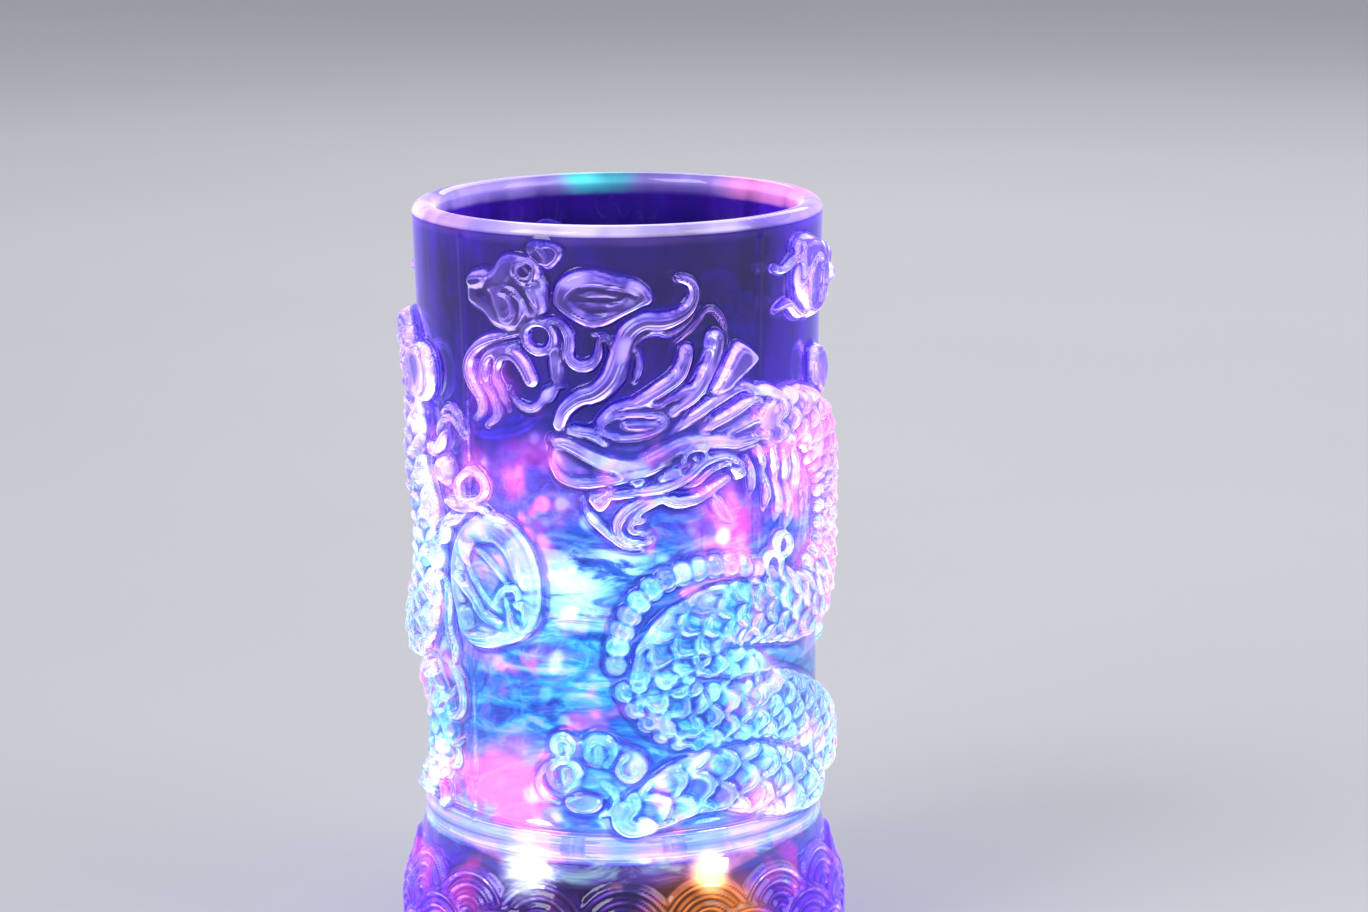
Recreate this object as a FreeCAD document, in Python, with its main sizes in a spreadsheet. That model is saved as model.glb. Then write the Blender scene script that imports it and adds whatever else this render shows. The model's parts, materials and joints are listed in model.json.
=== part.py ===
import FreeCAD, Part
import Sketcher
import math
import os

# A light-up tumbler: a clear moulded cup with a serpent in relief round its wall, over a
# flared skirt that hides a lamp unit. Two steel pins in the cup's floor sense the drink.
# Axes: origin at the centre of the foot, +Z up, the serpent's head faces -Y.

doc = FreeCAD.newDocument("light_up_tumbler")

DIMENSIONS = {
    # the clear moulding
    "cup_height": 144.0,
    "rim_radius": 38.0,
    "lip_radius": 2.2,
    "waist_radius": 36.7,
    "waist_level": 58.0,
    "neck_radius": 37.3,
    "neck_level": 30.5,
    "skirt_radius": 41.9,
    "skirt_level": 8.0,
    "foot_radius": 39.5,
    "skirt_gap": 0.8,
    "skirt_bore": 36.8,
    "bowl_top_radius": 33.6,
    "bowl_low_radius": 33.1,
    "bowl_corner": 4.0,
    "floor_top": 30.0,
    "floor_under": 26.5,
    "relief_wall": 37.0,
    "low_wall_radius": 36.85,
    "low_wall_level": 42.0,
    "high_wall_level": 100.0,
    "shoulder_radius": 39.6,
    "shoulder_level": 20.0,
    "skirt_upper_radius": 41.3,
    "skirt_upper_level": 14.0,
    "flare_radius": 41.1,
    "flare_level": 3.2,
    "hollow_bore_top": 12.0,
    "hollow_shoulder_radius": 33.6,
    "hollow_top_radius": 32.1,
    "hollow_shoulder_drop": 1.5,
    # cutting tools run past what they cut, and fused pieces run into each other
    "overrun": 1.0,
    "overlap": 0.5,
    # shape of every screw
    "screw_point": 1.0,
    "screw_point_share": 0.4,
    "recess_width": 0.45,
    "recess_depth": 0.6,
    "recess_share": 1.3,
    # base plate, gasket and foot
    "plate_radius": 36.5,
    "plate_under": 1.0,
    "plate_top": 3.6,
    "housing_low": 4.4,
    "upstand_outer": 34.2,
    "upstand_inner": 27.2,
    "foot_ring_inner": 33.2,
    "foot_ring_outer": 36.0,
    "foot_ring_top": 1.8,
    "base_screw_ring": 30.5,
    "base_screw_count": 3,
    "base_screw_head": 2.2,
    "base_screw_radius": 1.0,
    "base_screw_low": 1.1,
    "base_screw_seat": 2.6,
    "base_screw_tip": 9.2,
    "base_screw_sink": 2.5,
    "base_screw_way": 1.15,
    "base_pilot_radius": 1.05,
    "base_pilot_top": 9.6,
    "gasket_inner": 34.4,
    "foot_edge": 0.4,
    # lamp housing
    "housing_radius": 29.0,
    "housing_bore": 27.2,
    "flange_radius": 36.6,
    "flange_top": 6.4,
    "deck_under": 19.0,
    "deck_top": 20.6,
    "collar_outer": 17.0,
    "collar_inner": 15.5,
    "collar_top": 24.4,
    "boss_radius": 2.6,
    "boss_top": 10.4,
    # circuit board and what stands on it
    "board_radius": 26.6,
    "board_under": 15.4,
    "board_top": 16.6,
    "board_screw_ring": 22.0,
    "board_screw_head": 1.8,
    "board_screw_radius": 0.85,
    "board_screw_low": 14.2,
    "board_screw_tip": 20.0,
    "board_screw_way": 1.0,
    "board_pilot_radius": 0.9,
    "board_pilot_top": 20.1,
    "post_radius": 2.4,
    "led_offset": 16.3,
    "led_radius": 2.5,
    "led_flange_radius": 2.9,
    "led_flange_height": 1.0,
    "led_base": 16.8,
    "led_shoulder": 22.9,
    "led_hole_radius": 2.7,
    "lead_radius": 0.25,
    "lead_pitch": 2.54,
    "lead_trim": 0.8,
    "chip_x": 12.0,
    "chip_y": -7.0,
    "chip_length": 5.0,
    "chip_width": 4.0,
    "chip_height": 1.5,
    "chip_gap": 0.2,
    "chip_pitch": 1.27,
    "chip_leg_width": 0.4,
    "chip_leg_length": 1.2,
    "chip_leg_height": 0.6,
    "chip_leg_offset": 2.4,
    "resistor_offset": 10.5,
    "resistor_length": 3.2,
    "resistor_width": 1.6,
    "resistor_height": 0.6,
    "transistor_y": -13.0,
    "transistor_length": 2.9,
    "transistor_width": 1.3,
    "transistor_height": 1.0,
    "capacitor_x": -12.0,
    "capacitor_y": -8.0,
    "capacitor_radius": 2.0,
    "capacitor_height": 5.0,
    "capacitor_neck_radius": 1.8,
    "capacitor_neck_low": 1.4,
    "capacitor_neck_top": 1.0,
    # liquid sensor
    "pin_offset": 6.0,
    "pin_radius": 1.5,
    "pin_head_radius": 3.0,
    "pin_head_height": 1.2,
    "pin_end": 21.6,
    "pin_bore": 1.6,
    "pin_crown_radius": 9.0,
    "pin_head_edge": 0.6,
    "pin_fit": 0.05,
    "sensor_lead_radius": 0.5,
    "sensor_lead_way": 1.2,
    "seal_radius": 3.4,
    "seal_height": 0.8,
    "nut_radius": 2.9,
    "nut_height": 2.0,
    # push switch and button
    "button_y": -14.0,
    "button_radius": 5.0,
    "button_hole": 5.25,
    "button_edge": 0.5,
    "button_under": 1.3,
    "button_flange_radius": 6.6,
    "button_flange_low": 3.7,
    "button_flange_top": 4.8,
    "stem_radius": 1.6,
    "plunger_radius": 1.75,
    "plunger_low": 10.6,
    "plunger_top": 13.4,
    "switch_side": 6.0,
    "switch_under": 12.2,
    "switch_bore_top": 14.6,
    "switch_bore": 1.85,
    "terminal_length": 0.8,
    "terminal_width": 0.7,
    "terminal_thickness": 0.5,
    "terminal_y": 2.25,
    # cells and their bay
    "bay_y": 10.0,
    "cell_radius": 5.8,
    "cell_length": 5.4,
    "cell_cap_height": 0.9,
    "cell_cap_inset": 0.7,
    "cell_axis_level": 9.0,
    "cell_end": 10.9,
    "holder_length": 26.0,
    "holder_width": 14.6,
    "holder_low": 3.7,
    "holder_bay_length": 23.0,
    "holder_bay_width": 12.2,
    "contact_thickness": 0.4,
    "contact_width": 8.0,
    "contact_low": 5.0,
    "spring_radius": 3.6,
    "spring_wire": 0.35,
    "spring_turns": 3.5,
    "spring_bite": 0.15,
    "spring_end_gap": 0.1,
    # battery door
    "door_length": 31.0,
    "door_width": 16.0,
    "door_under": 1.1,
    "door_top": 2.4,
    "door_clearance": 0.3,
    "door_corner": 2.5,
    "door_seal_inset": 0.2,
    "grip_first": -12.0,
    "grip_pitch": 1.8,
    "grip_width": 0.8,
    "grip_length": 9.0,
    "grip_depth": 0.35,
    "ledge_under": 2.8,
    "ledge_width": 1.3,
    "ear_x": 18.5,
    "ear_radius": 4.0,
    "insert_radius": 1.9,
    "insert_bore": 1.08,
    "insert_boss_radius": 3.2,
    "insert_top": 7.6,
    "insert_cap": 0.4,
    "door_screw_radius": 1.0,
    "door_screw_head": 1.9,
    "door_screw_low": 1.15,
    "door_screw_seat": 1.8,
    "door_screw_tip": 7.0,
    "door_screw_sink": 2.2,
    "door_screw_way": 1.2,
}

sheet = doc.addObject("Spreadsheet::Sheet", "Dims")
for row, (alias, value) in enumerate(DIMENSIONS.items(), start=1):
    sheet.set(f"A{row}", alias)
    sheet.set(f"B{row}", str(value))
    sheet.setAlias(f"B{row}", alias)
doc.recompute()

sub_parts = []


def size(alias):
    """A driving dimension as a number, for the shapes that script code sets."""
    return float(sheet.get(alias))


def formula(text):
    """Expression text with every bare alias turned into a reference to the sheet."""
    words = []
    for word in text.split():
        words.append(f"Dims.{word}" if word in DIMENSIONS else word)
    return " ".join(words)


def place(piece, x="0", y="0", z="0"):
    """Tie a piece's position to the sheet."""
    for axis, text in (("x", x), ("y", y), ("z", z)):
        piece.setExpression(f"Placement.Base.{axis}", formula(text))
    return piece


def cylinder(name, radius, low, high, x="0", y="0"):
    """Upright cylinder between two levels."""
    piece = doc.addObject("Part::Cylinder", name)
    piece.setExpression("Radius", formula(radius))
    piece.setExpression("Height", formula(f"( {high} ) - ( {low} )"))
    return place(piece, x, y, low)


def block(name, length, width, low, high, x="0", y="0"):
    """Upright box between two levels, centred on x, y."""
    piece = doc.addObject("Part::Box", name)
    piece.setExpression("Length", formula(length))
    piece.setExpression("Width", formula(width))
    piece.setExpression("Height", formula(f"( {high} ) - ( {low} )"))
    return place(piece, f"( {x} ) - ( {length} ) / 2", f"( {y} ) - ( {width} ) / 2", low)


def fuse(name, pieces):
    """One solid from several that touch."""
    union = doc.addObject("Part::MultiFuse", name)
    union.Shapes = pieces
    union.Refine = True
    return union


def cut(name, base, tools):
    """A solid with one or more tools taken away."""
    result = doc.addObject("Part::Cut", name)
    result.Base = base
    result.Tool = tools[0] if len(tools) == 1 else fuse(f"{name}_tools", tools)
    return result


def tube(name, outer, inner, low, high, x="0", y="0"):
    """Upright ring between two levels."""
    bar = cylinder(f"{name}_bar", outer, low, high, x, y)
    bore = cylinder(f"{name}_bore", inner, f"( {low} ) - overrun", f"( {high} ) + overrun", x, y)
    return cut(name, bar, [bore])


def group(name, members):
    """Identical small pieces that share a node as separate solids."""
    compound = doc.addObject("Part::Compound", name)
    compound.Links = members
    return compound


def sub_part(name, piece):
    """Enter a finished piece in the list that is written out."""
    piece.Label = name
    sub_parts.append(piece)
    return piece


def plane_of(body, role):
    """One of a body's own origin planes or axes."""
    return next(item for item in body.Origin.OriginFeatures if item.Role == role)


def new_sketch(body, name, plane):
    """Sketch on one of the body's origin planes."""
    sketch = body.newObject("Sketcher::SketchObject", name)
    sketch.AttachmentSupport = [(plane_of(body, plane), "")]
    sketch.MapMode = "FlatFace"
    return sketch


def outline(sketch, corners):
    """Closed polygon whose corners are each tied to the sheet by two expressions."""
    count = len(corners)
    guess = [FreeCAD.Vector(5.0 + index, 3.0 + index % 3, 0) for index in range(count)]
    for index in range(count):
        sketch.addGeometry(Part.LineSegment(guess[index], guess[(index + 1) % count]), False)
    for index in range(count):
        following = (index + 1) % count
        sketch.addConstraint(Sketcher.Constraint("Coincident", index, 2, following, 1))
    for index, (across, up) in enumerate(corners):
        for kind, text in (("DistanceX", across), ("DistanceY", up)):
            number = sketch.addConstraint(Sketcher.Constraint(kind, -1, 1, index, 1, 1.0 + index))
            sketch.setExpression(f"Constraints[{number}]", formula(text))


def circle(sketch, radius, across, up):
    """Circle with its radius and centre tied to the sheet."""
    number = sketch.addGeometry(Part.Circle(FreeCAD.Vector(1, 1, 0), FreeCAD.Vector(0, 0, 1), 1))
    pairs = (
        (Sketcher.Constraint("Radius", number, 1.0), radius),
        (Sketcher.Constraint("DistanceX", -1, 1, number, 3, 1.0), across),
        (Sketcher.Constraint("DistanceY", -1, 1, number, 3, 1.0), up),
    )
    for constraint, text in pairs:
        index = sketch.addConstraint(constraint)
        sketch.setExpression(f"Constraints[{index}]", formula(text))


def turned(name, corners):
    """PartDesign body turned about the vertical axis from a half section."""
    body = doc.addObject("PartDesign::Body", name)
    sketch = new_sketch(body, f"{name}_section", "XZ_Plane")
    outline(sketch, corners)
    revolution = body.newObject("PartDesign::Revolution", f"{name}_turn")
    revolution.Profile = sketch
    revolution.ReferenceAxis = (plane_of(body, "Z_Axis"), [""])
    revolution.Angle = 360.0
    doc.recompute()
    return body


def pocket(body, name, sketch, depth):
    """Cut upwards from the body's XY plane, and make sure that something was cut."""
    before = body.Shape.Volume
    feature = body.newObject("PartDesign::Pocket", name)
    feature.Profile = sketch
    feature.Reversed = True
    feature.setExpression("Length", formula(depth))
    doc.recompute()
    if body.Shape.Volume >= before:
        raise RuntimeError(f"{name} cuts nothing")
    return feature


def pan_screw(name, head_radius, shank_radius, low, seat, tip, x, y):
    """Screw that points up: cheese head with a cross recess, plain shank and pointed tip."""
    head = cylinder(f"{name}_head", head_radius, low, seat, x, y)
    shank = cylinder(f"{name}_shank", shank_radius, seat, f"( {tip} ) - screw_point", x, y)
    point = doc.addObject("Part::Cone", f"{name}_point")
    point.setExpression("Radius1", formula(shank_radius))
    point.setExpression("Radius2", formula(f"( {shank_radius} ) * screw_point_share"))
    point.setExpression("Height", formula("screw_point"))
    place(point, x, y, f"( {tip} ) - screw_point")
    slot_low = f"( {low} ) - overrun"
    slot_high = f"( {low} ) + recess_depth"
    slot_length = f"( {head_radius} ) * recess_share"
    slots = [
        block(f"{name}_slot_x", slot_length, "recess_width", slot_low, slot_high, x, y),
        block(f"{name}_slot_y", "recess_width", slot_length, slot_low, slot_high, x, y),
    ]
    return cut(name, fuse(f"{name}_blank", [head, shank, point]), slots)


def around(radius, degrees):
    """x and y expressions of a point on a ring, counted from the back towards the left."""
    return f"( {radius} ) * cos( {degrees} deg )", f"( {radius} ) * sin( {degrees} deg )"


# ---- clear moulded cup ------------------------------------------------------------------

# Serpent relief. Each feature is a rounded ridge along (s, z) points on the wall, where s is
# the arc from the front line and z the height, with its half width and how far it stands out.
RELIEF = {
    "serpent_body": ([(30, 103), (42, 99), (52, 90), (54, 79), (44, 72), (30, 72), (15, 73),
                      (6, 68), (5, 60), (13, 55), (26, 55), (39, 49), (52, 42), (66, 38),
                      (80, 42), (92, 52), (102, 64), (112, 74), (124, 79), (136, 82),
                      (148, 84), (160, 80), (170, 80), (178, 86), (184, 95)], 6.0, 3.0),
    "tail": ([(184, 95), (180, 106), (170, 112), (158, 110)], 3.6, 2.4),
    "snout": ([(-8, 105), (3, 104), (14, 106), (24, 107)], 6.0, 3.2),
    "lower_jaw": ([(0, 92), (8, 97), (18, 101)], 3.5, 2.6),
    "mane_front": ([(10, 113), (12, 121)], 1.6, 2.0),
    "mane_rear": ([(17, 114), (24, 119)], 2.5, 2.6),
    "whisker": ([(-8, 110), (-2, 117), (1, 125), (7, 128), (13, 130), (12, 134)], 1.7, 1.8),
    "flame": ([(-18, 123), (-27, 121), (-28, 115), (-23, 109)], 3.2, 2.2),
    "pearl": ([(-25, 84), (-25, 76)], 9.5, 3.2),
    "fore_leg": ([(4, 42), (14, 42), (26, 42), (38, 45)], 5.5, 2.6),
    "claw_high": ([(-10, 42), (-10, 46)], 2.8, 2.4),
    "claw_mid": ([(-4, 49)], 3.2, 2.4),
    "claw_near": ([(1, 46)], 2.6, 2.2),
    "claw_low": ([(-7, 38)], 2.8, 2.2),
    "cloud_front_left": ([(-24, 131), (-18, 132)], 6.0, 2.4),
    "cloud_front": ([(-6, 130.5), (2, 130.5)], 5.0, 2.2),
    "cloud_right": ([(41, 127), (41, 132)], 5.2, 3.0),
    "curl_right": ([(47, 113)], 3.4, 2.4),
    "lobe_left_top": ([(-50, 110), (-50, 115)], 4.6, 3.2),
    "lobe_left_mid": ([(-48, 101)], 4.6, 3.0),
    "lobe_left_low": ([(-46, 40)], 4.6, 2.8),
    "cloud_rear_right": ([(84, 118), (92, 122), (101, 119)], 5.5, 2.6),
    "cloud_rear": ([(126, 126), (134, 128)], 5.2, 2.4),
    "cloud_rear_low": ([(128, 52), (137, 48), (146, 52)], 5.5, 2.6),
}


def on_wall(arc, level, radius):
    """Point at a radius from the axis, at an arc distance measured on the plain wall."""
    angle = arc / size("relief_wall")
    return FreeCAD.Vector(radius * math.sin(angle), -radius * math.cos(angle), level)


def ridge(points, half_width, proud):
    """Rounded ridge: balls at the points, joined by slightly thinner bars."""
    ball_radius = (half_width ** 2 + proud ** 2) / (2 * proud)
    centre_radius = size("relief_wall") + proud - ball_radius
    bar_share = 0.985
    centres = [on_wall(arc, level, centre_radius) for arc, level in points]
    solids = [Part.makeSphere(ball_radius, centre) for centre in centres]
    for start, end in zip(centres, centres[1:]):
        run = end.sub(start)
        solids.append(Part.makeCylinder(ball_radius * bar_share, run.Length, start, run))
    return solids


def spline(points):
    """Smooth edge through (radius, level) points of a half section."""
    curve = Part.BSplineCurve()
    curve.interpolate([FreeCAD.Vector(radius, 0, level) for radius, level in points])
    return curve.toShape()


def line(start, end):
    """Straight edge between two (radius, level) points."""
    return Part.makeLine(FreeCAD.Vector(start[0], 0, start[1]), FreeCAD.Vector(end[0], 0, end[1]))


def arc(start, middle, end):
    """Round edge through three (radius, level) points."""
    corners = [FreeCAD.Vector(radius, 0, level) for radius, level in (start, middle, end)]
    return Part.Arc(*corners).toShape()


def spun(edges):
    """Solid of revolution about the vertical axis from a closed half section."""
    face = Part.Face(Part.Wire(edges))
    return face.revolve(FreeCAD.Vector(0, 0, 0), FreeCAD.Vector(0, 0, 1), 360)


def cup_outside():
    """The moulding's outer skin as a full solid: skirt, waisted wall and rounded lip."""
    lip_level = size("cup_height") - size("lip_radius")
    foot = (size("foot_radius"), size("skirt_gap"))
    neck = (size("neck_radius"), size("neck_level"))
    rim = (size("rim_radius"), lip_level)
    lip_top = (size("rim_radius") - size("lip_radius"), size("cup_height"))
    lip_turn = size("lip_radius") * (1 - math.sqrt(0.5))
    lip_middle = (size("rim_radius") - lip_turn, size("cup_height") - lip_turn)
    bulge = (size("skirt_radius"), size("skirt_level"))
    skirt_upper = (size("skirt_upper_radius"), size("skirt_upper_level"))
    shoulder = (size("shoulder_radius"), size("shoulder_level"))
    flare = (size("flare_radius"), size("flare_level"))
    low_wall = (size("low_wall_radius"), size("low_wall_level"))
    waist = (size("waist_radius"), size("waist_level"))
    high_wall = (size("relief_wall"), size("high_wall_level"))
    edges = [
        line((0, foot[1]), foot),
        spline([foot, flare, bulge, skirt_upper, shoulder, neck]),
        spline([neck, low_wall, waist, high_wall, rim]),
        arc(rim, lip_middle, lip_top),
        line(lip_top, (0, lip_top[1])),
        line((0, lip_top[1]), (0, foot[1])),
    ]
    return spun(edges)


def cup_inside():
    """The drink's space, open through the lip, with a rounded bottom corner."""
    lip_level = size("cup_height") - size("lip_radius")
    corner = size("bowl_corner")
    low = size("bowl_low_radius")
    corner_turn = corner * (1 - math.sqrt(0.5))
    lip_turn = size("lip_radius") * (1 - math.sqrt(0.5))
    top = size("bowl_top_radius")
    mouth = top + size("lip_radius")
    rim = size("cup_height")
    above = rim + size("overrun")
    edges = [
        line((0, size("floor_top")), (low - corner, size("floor_top"))),
        arc((low - corner, size("floor_top")),
            (low - corner_turn, size("floor_top") + corner_turn),
            (low, size("floor_top") + corner)),
        line((low, size("floor_top") + corner), (top, lip_level)),
        arc((top, lip_level), (top + lip_turn, rim - lip_turn), (mouth, rim)),
        line((mouth, rim), (mouth, above)),
        line((mouth, above), (0, above)),
        line((0, above), (0, size("floor_top"))),
    ]
    return spun(edges)


def skirt_inside():
    """The hollow under the floor that holds the lamp unit."""
    under = size("floor_under")
    corners = [
        (0, 0), (size("skirt_bore"), 0), (size("skirt_bore"), size("hollow_bore_top")),
        (size("hollow_shoulder_radius"), under - size("hollow_shoulder_drop")),
        (size("hollow_top_radius"), under), (0, under),
    ]
    return spun([line(start, end) for start, end in zip(corners, corners[1:] + corners[:1])])


def build_cup():
    blank = doc.addObject("Part::Feature", "cup_blank")
    ridges = [solid for feature in RELIEF.values() for solid in ridge(*feature)]
    blank.Shape = cup_outside().multiFuse(ridges)
    bowl = doc.addObject("Part::Feature", "cup_bowl")
    bowl.Shape = cup_inside()
    hollow = doc.addObject("Part::Feature", "cup_hollow")
    hollow.Shape = skirt_inside()
    tools = [bowl, hollow]
    for side in ("-", ""):
        tools.append(cylinder("cup_pin_hole", "pin_bore", "floor_under - overrun",
                              "floor_top + overrun", f"{side} pin_offset"))
    sub_part("cup_body", cut("cup", blank, tools))


# ---- base plate, gasket, screws and foot ------------------------------------------------

def screw_points():
    """Ring positions of the base screws, the first at the back."""
    count = int(size("base_screw_count"))
    return [around("base_screw_ring", 90 + 360 * index / count) for index in range(count)]


def rounded_oblong(name, length, width, corner, low, high):
    """Flat block over the battery bay, with rounded upright edges."""
    pieces = [
        block(f"{name}_long", length, f"( {width} ) - 2 * ( {corner} )", low, high, y="bay_y"),
        block(f"{name}_wide", f"( {length} ) - 2 * ( {corner} )", width, low, high, y="bay_y"),
    ]
    for x_side in ("-", ""):
        for y_side in ("-", "+"):
            pieces.append(cylinder(f"{name}_corner", corner, low, high,
                                   f"{x_side} ( ( {length} ) / 2 - ( {corner} ) )",
                                   f"bay_y {y_side} ( ( {width} ) / 2 - ( {corner} ) )"))
    return pieces


def door_outline(name, grow, low, high):
    """Door shape, larger all round by grow: an oblong with a round ear at its screw end."""
    pieces = rounded_oblong(name, f"door_length + 2 * {grow}", f"door_width + 2 * {grow}",
                            f"door_corner + {grow}", low, high)
    pieces.append(cylinder(f"{name}_ear", f"ear_radius + {grow}", low, high, "ear_x", "bay_y"))
    return fuse(name, pieces)


def build_base_plate():
    disc = turned("base_disc", [
        ("0", "plate_under"), ("foot_ring_inner", "plate_under"),
        ("foot_ring_inner", "foot_ring_top"), ("foot_ring_outer", "foot_ring_top"),
        ("foot_ring_outer", "plate_under"), ("plate_radius", "plate_under"),
        ("plate_radius", "plate_top"), ("upstand_outer", "plate_top"),
        ("upstand_outer", "housing_low"), ("upstand_inner", "housing_low"),
        ("upstand_inner", "plate_top"), ("0", "plate_top"),
    ])
    sketch = new_sketch(disc, "button_opening", "XY_Plane")
    circle(sketch, "button_hole", "0", "button_y")
    pocket(disc, "button_pocket", sketch, "plate_top + overrun")
    sketch = new_sketch(disc, "screw_sink", "XY_Plane")
    circle(sketch, "base_screw_sink", "0", "base_screw_ring")
    sink = pocket(disc, "screw_sink_pocket", sketch, "base_screw_seat")
    sketch = new_sketch(disc, "screw_way", "XY_Plane")
    circle(sketch, "base_screw_way", "0", "base_screw_ring")
    way = pocket(disc, "screw_way_pocket", sketch, "housing_low + overrun")
    pattern = disc.newObject("PartDesign::PolarPattern", "screw_pattern")
    pattern.Originals = [sink, way]
    pattern.Axis = (plane_of(disc, "Z_Axis"), [""])
    pattern.Angle = 360.0
    pattern.setExpression("Occurrences", "Dims.base_screw_count")
    disc.Tip = pattern
    doc.recompute()
    insert_boss = cylinder("insert_boss", "insert_boss_radius", "plate_top - overlap",
                           "insert_top + insert_cap", "ear_x", "bay_y")
    seat = door_outline("door_seat", "door_clearance", "plate_under - overrun", "ledge_under")
    way = block("bay_opening", "door_length - 2 * ledge_width", "door_width - 2 * ledge_width",
                "plate_under - overrun", "plate_top + overrun", y="bay_y")
    bore = cylinder("insert_seat", "insert_radius", "plate_under - overrun", "insert_top",
                    "ear_x", "bay_y")
    sub_part("base_plate", cut("plate", fuse("plate_blank", [disc, insert_boss]), [seat, way, bore]))


def build_base_fixings():
    sub_part("base_gasket", turned("gasket_ring", [
        ("gasket_inner", "plate_top"), ("plate_radius", "plate_top"),
        ("plate_radius", "housing_low"), ("gasket_inner", "housing_low"),
    ]))
    sub_part("foot_ring", turned("foot", [
        ("foot_ring_inner", "foot_ring_top"), ("foot_ring_inner", "foot_edge"),
        ("foot_ring_inner + foot_edge", "0"), ("foot_ring_outer - foot_edge", "0"),
        ("foot_ring_outer", "foot_edge"), ("foot_ring_outer", "foot_ring_top"),
    ]))
    screws = [pan_screw(f"base_screw_{number}", "base_screw_head", "base_screw_radius",
                        "base_screw_low", "base_screw_seat", "base_screw_tip", x, y)
              for number, (x, y) in enumerate(screw_points(), start=1)]
    sub_part("base_screws", group("base_screw_set", screws))


# ---- lamp housing -----------------------------------------------------------------------

def led_points():
    """Name, x and y of the four lamps at the corners of a square."""
    corners = (("front_left", "-", "-"), ("front_right", "", "-"),
               ("rear_left", "-", ""), ("rear_right", "", ""))
    return [(name, f"{x} led_offset", f"{y} led_offset") for name, x, y in corners]


def board_screw_points():
    """Ring positions of the three board screws, the first at the front."""
    return [around("board_screw_ring", 270 + 120 * index) for index in range(3)]


def build_lamp_housing():
    shell = turned("housing_shell", [
        ("housing_bore", "housing_low"), ("flange_radius", "housing_low"),
        ("flange_radius", "flange_top"), ("housing_radius", "flange_top"),
        ("housing_radius", "deck_top"), ("collar_outer", "deck_top"),
        ("collar_outer", "collar_top"), ("collar_inner", "collar_top"),
        ("collar_inner", "deck_top"), ("0", "deck_top"), ("0", "deck_under"),
        ("housing_bore", "deck_under"),
    ])
    solids = [shell]
    tools = []
    for x, y in screw_points():
        solids.append(cylinder("screw_boss", "boss_radius", "housing_low", "boss_top", x, y))
        tools.append(cylinder("boss_pilot", "base_pilot_radius", "housing_low - overrun",
                              "base_pilot_top", x, y))
    for x, y in board_screw_points():
        solids.append(cylinder("board_post", "post_radius", "board_top", "deck_under + overlap", x, y))
        tools.append(cylinder("post_pilot", "board_pilot_radius", "board_top - overrun",
                              "board_pilot_top", x, y))
    for _, x, y in led_points():
        tools.append(cylinder("led_hole", "led_hole_radius", "deck_under - overrun",
                              "deck_top + overrun", x, y))
    for side in ("-", ""):
        tools.append(cylinder("lead_hole", "sensor_lead_way", "deck_under - overrun",
                              "deck_top + overrun", f"{side} pin_offset"))
    sub_part("lamp_housing", cut("housing", fuse("housing_blank", solids), tools))


# ---- circuit board and its parts --------------------------------------------------------

def build_board():
    disc = cylinder("board_disc", "board_radius", "board_under", "board_top")
    holes = [cylinder("board_screw_hole", "board_screw_way", "board_under - overrun",
                      "board_top + overrun", x, y) for x, y in board_screw_points()]
    for _, x, y in led_points():
        for side in ("-", "+"):
            holes.append(cylinder("board_lead_hole", "lead_radius", "board_under - overrun",
                                  "board_top + overrun", f"{x} {side} lead_pitch / 2", y))
    sub_part("circuit_board", cut("board", disc, holes))
    screws = [pan_screw(f"board_screw_{number}", "board_screw_head", "board_screw_radius",
                        "board_screw_low", "board_under", "board_screw_tip", x, y)
              for number, (x, y) in enumerate(board_screw_points(), start=1)]
    sub_part("board_screws", group("board_screw_set", screws))


def build_lamps():
    leads = []
    for name, x, y in led_points():
        flange = cylinder("led_flange", "led_flange_radius", "led_base",
                          "led_base + led_flange_height", x, y)
        barrel = cylinder("led_barrel", "led_radius", "led_base", "led_shoulder", x, y)
        dome = doc.addObject("Part::Sphere", "led_dome")
        dome.setExpression("Radius", "Dims.led_radius")
        place(dome, x, y, "led_shoulder")
        sub_part(f"led_{name}", fuse(f"lamp_{name}", [flange, barrel, dome]))
        for side in ("-", "+"):
            leads.append(cylinder("led_lead", "lead_radius", "board_under - lead_trim", "led_base",
                                  f"{x} {side} lead_pitch / 2", y))
    sub_part("led_leads", group("led_lead_set", leads))


def build_electronics():
    chip = block("chip_case", "chip_length", "chip_width", "board_under - chip_gap - chip_height",
                 "board_under - chip_gap", "chip_x", "chip_y")
    # the legs stand in two rows of four, centred on the case
    legs = []
    for side in ("-", "+"):
        for column in range(4):
            legs.append(block("chip_leg", "chip_leg_width", "chip_leg_length",
                              "board_under - chip_leg_height", "board_under",
                              f"chip_x + chip_pitch * {column - 1.5}",
                              f"chip_y {side} chip_leg_offset"))
    sub_part("controller_chip", fuse("chip", [chip] + legs))
    resistors = [block("resistor", "resistor_length", "resistor_width", "board_top",
                       "board_top + resistor_height", f"{x_side} resistor_offset",
                       f"{y_side} resistor_offset") for x_side in ("-", "") for y_side in ("-", "")]
    sub_part("resistors", group("resistor_set", resistors))
    sub_part("transistor", block("transistor_case", "transistor_length", "transistor_width",
                                 "board_top", "board_top + transistor_height", y="transistor_y"))
    can = cylinder("capacitor_can", "capacitor_radius", "board_under - capacitor_height",
                   "board_under", "capacitor_x", "capacitor_y")
    groove = tube("capacitor_groove", "capacitor_radius + overrun", "capacitor_neck_radius",
                  "board_under - capacitor_neck_low", "board_under - capacitor_neck_top",
                  "capacitor_x", "capacitor_y")
    sub_part("capacitor", cut("capacitor_body", can, [groove]))


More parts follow.
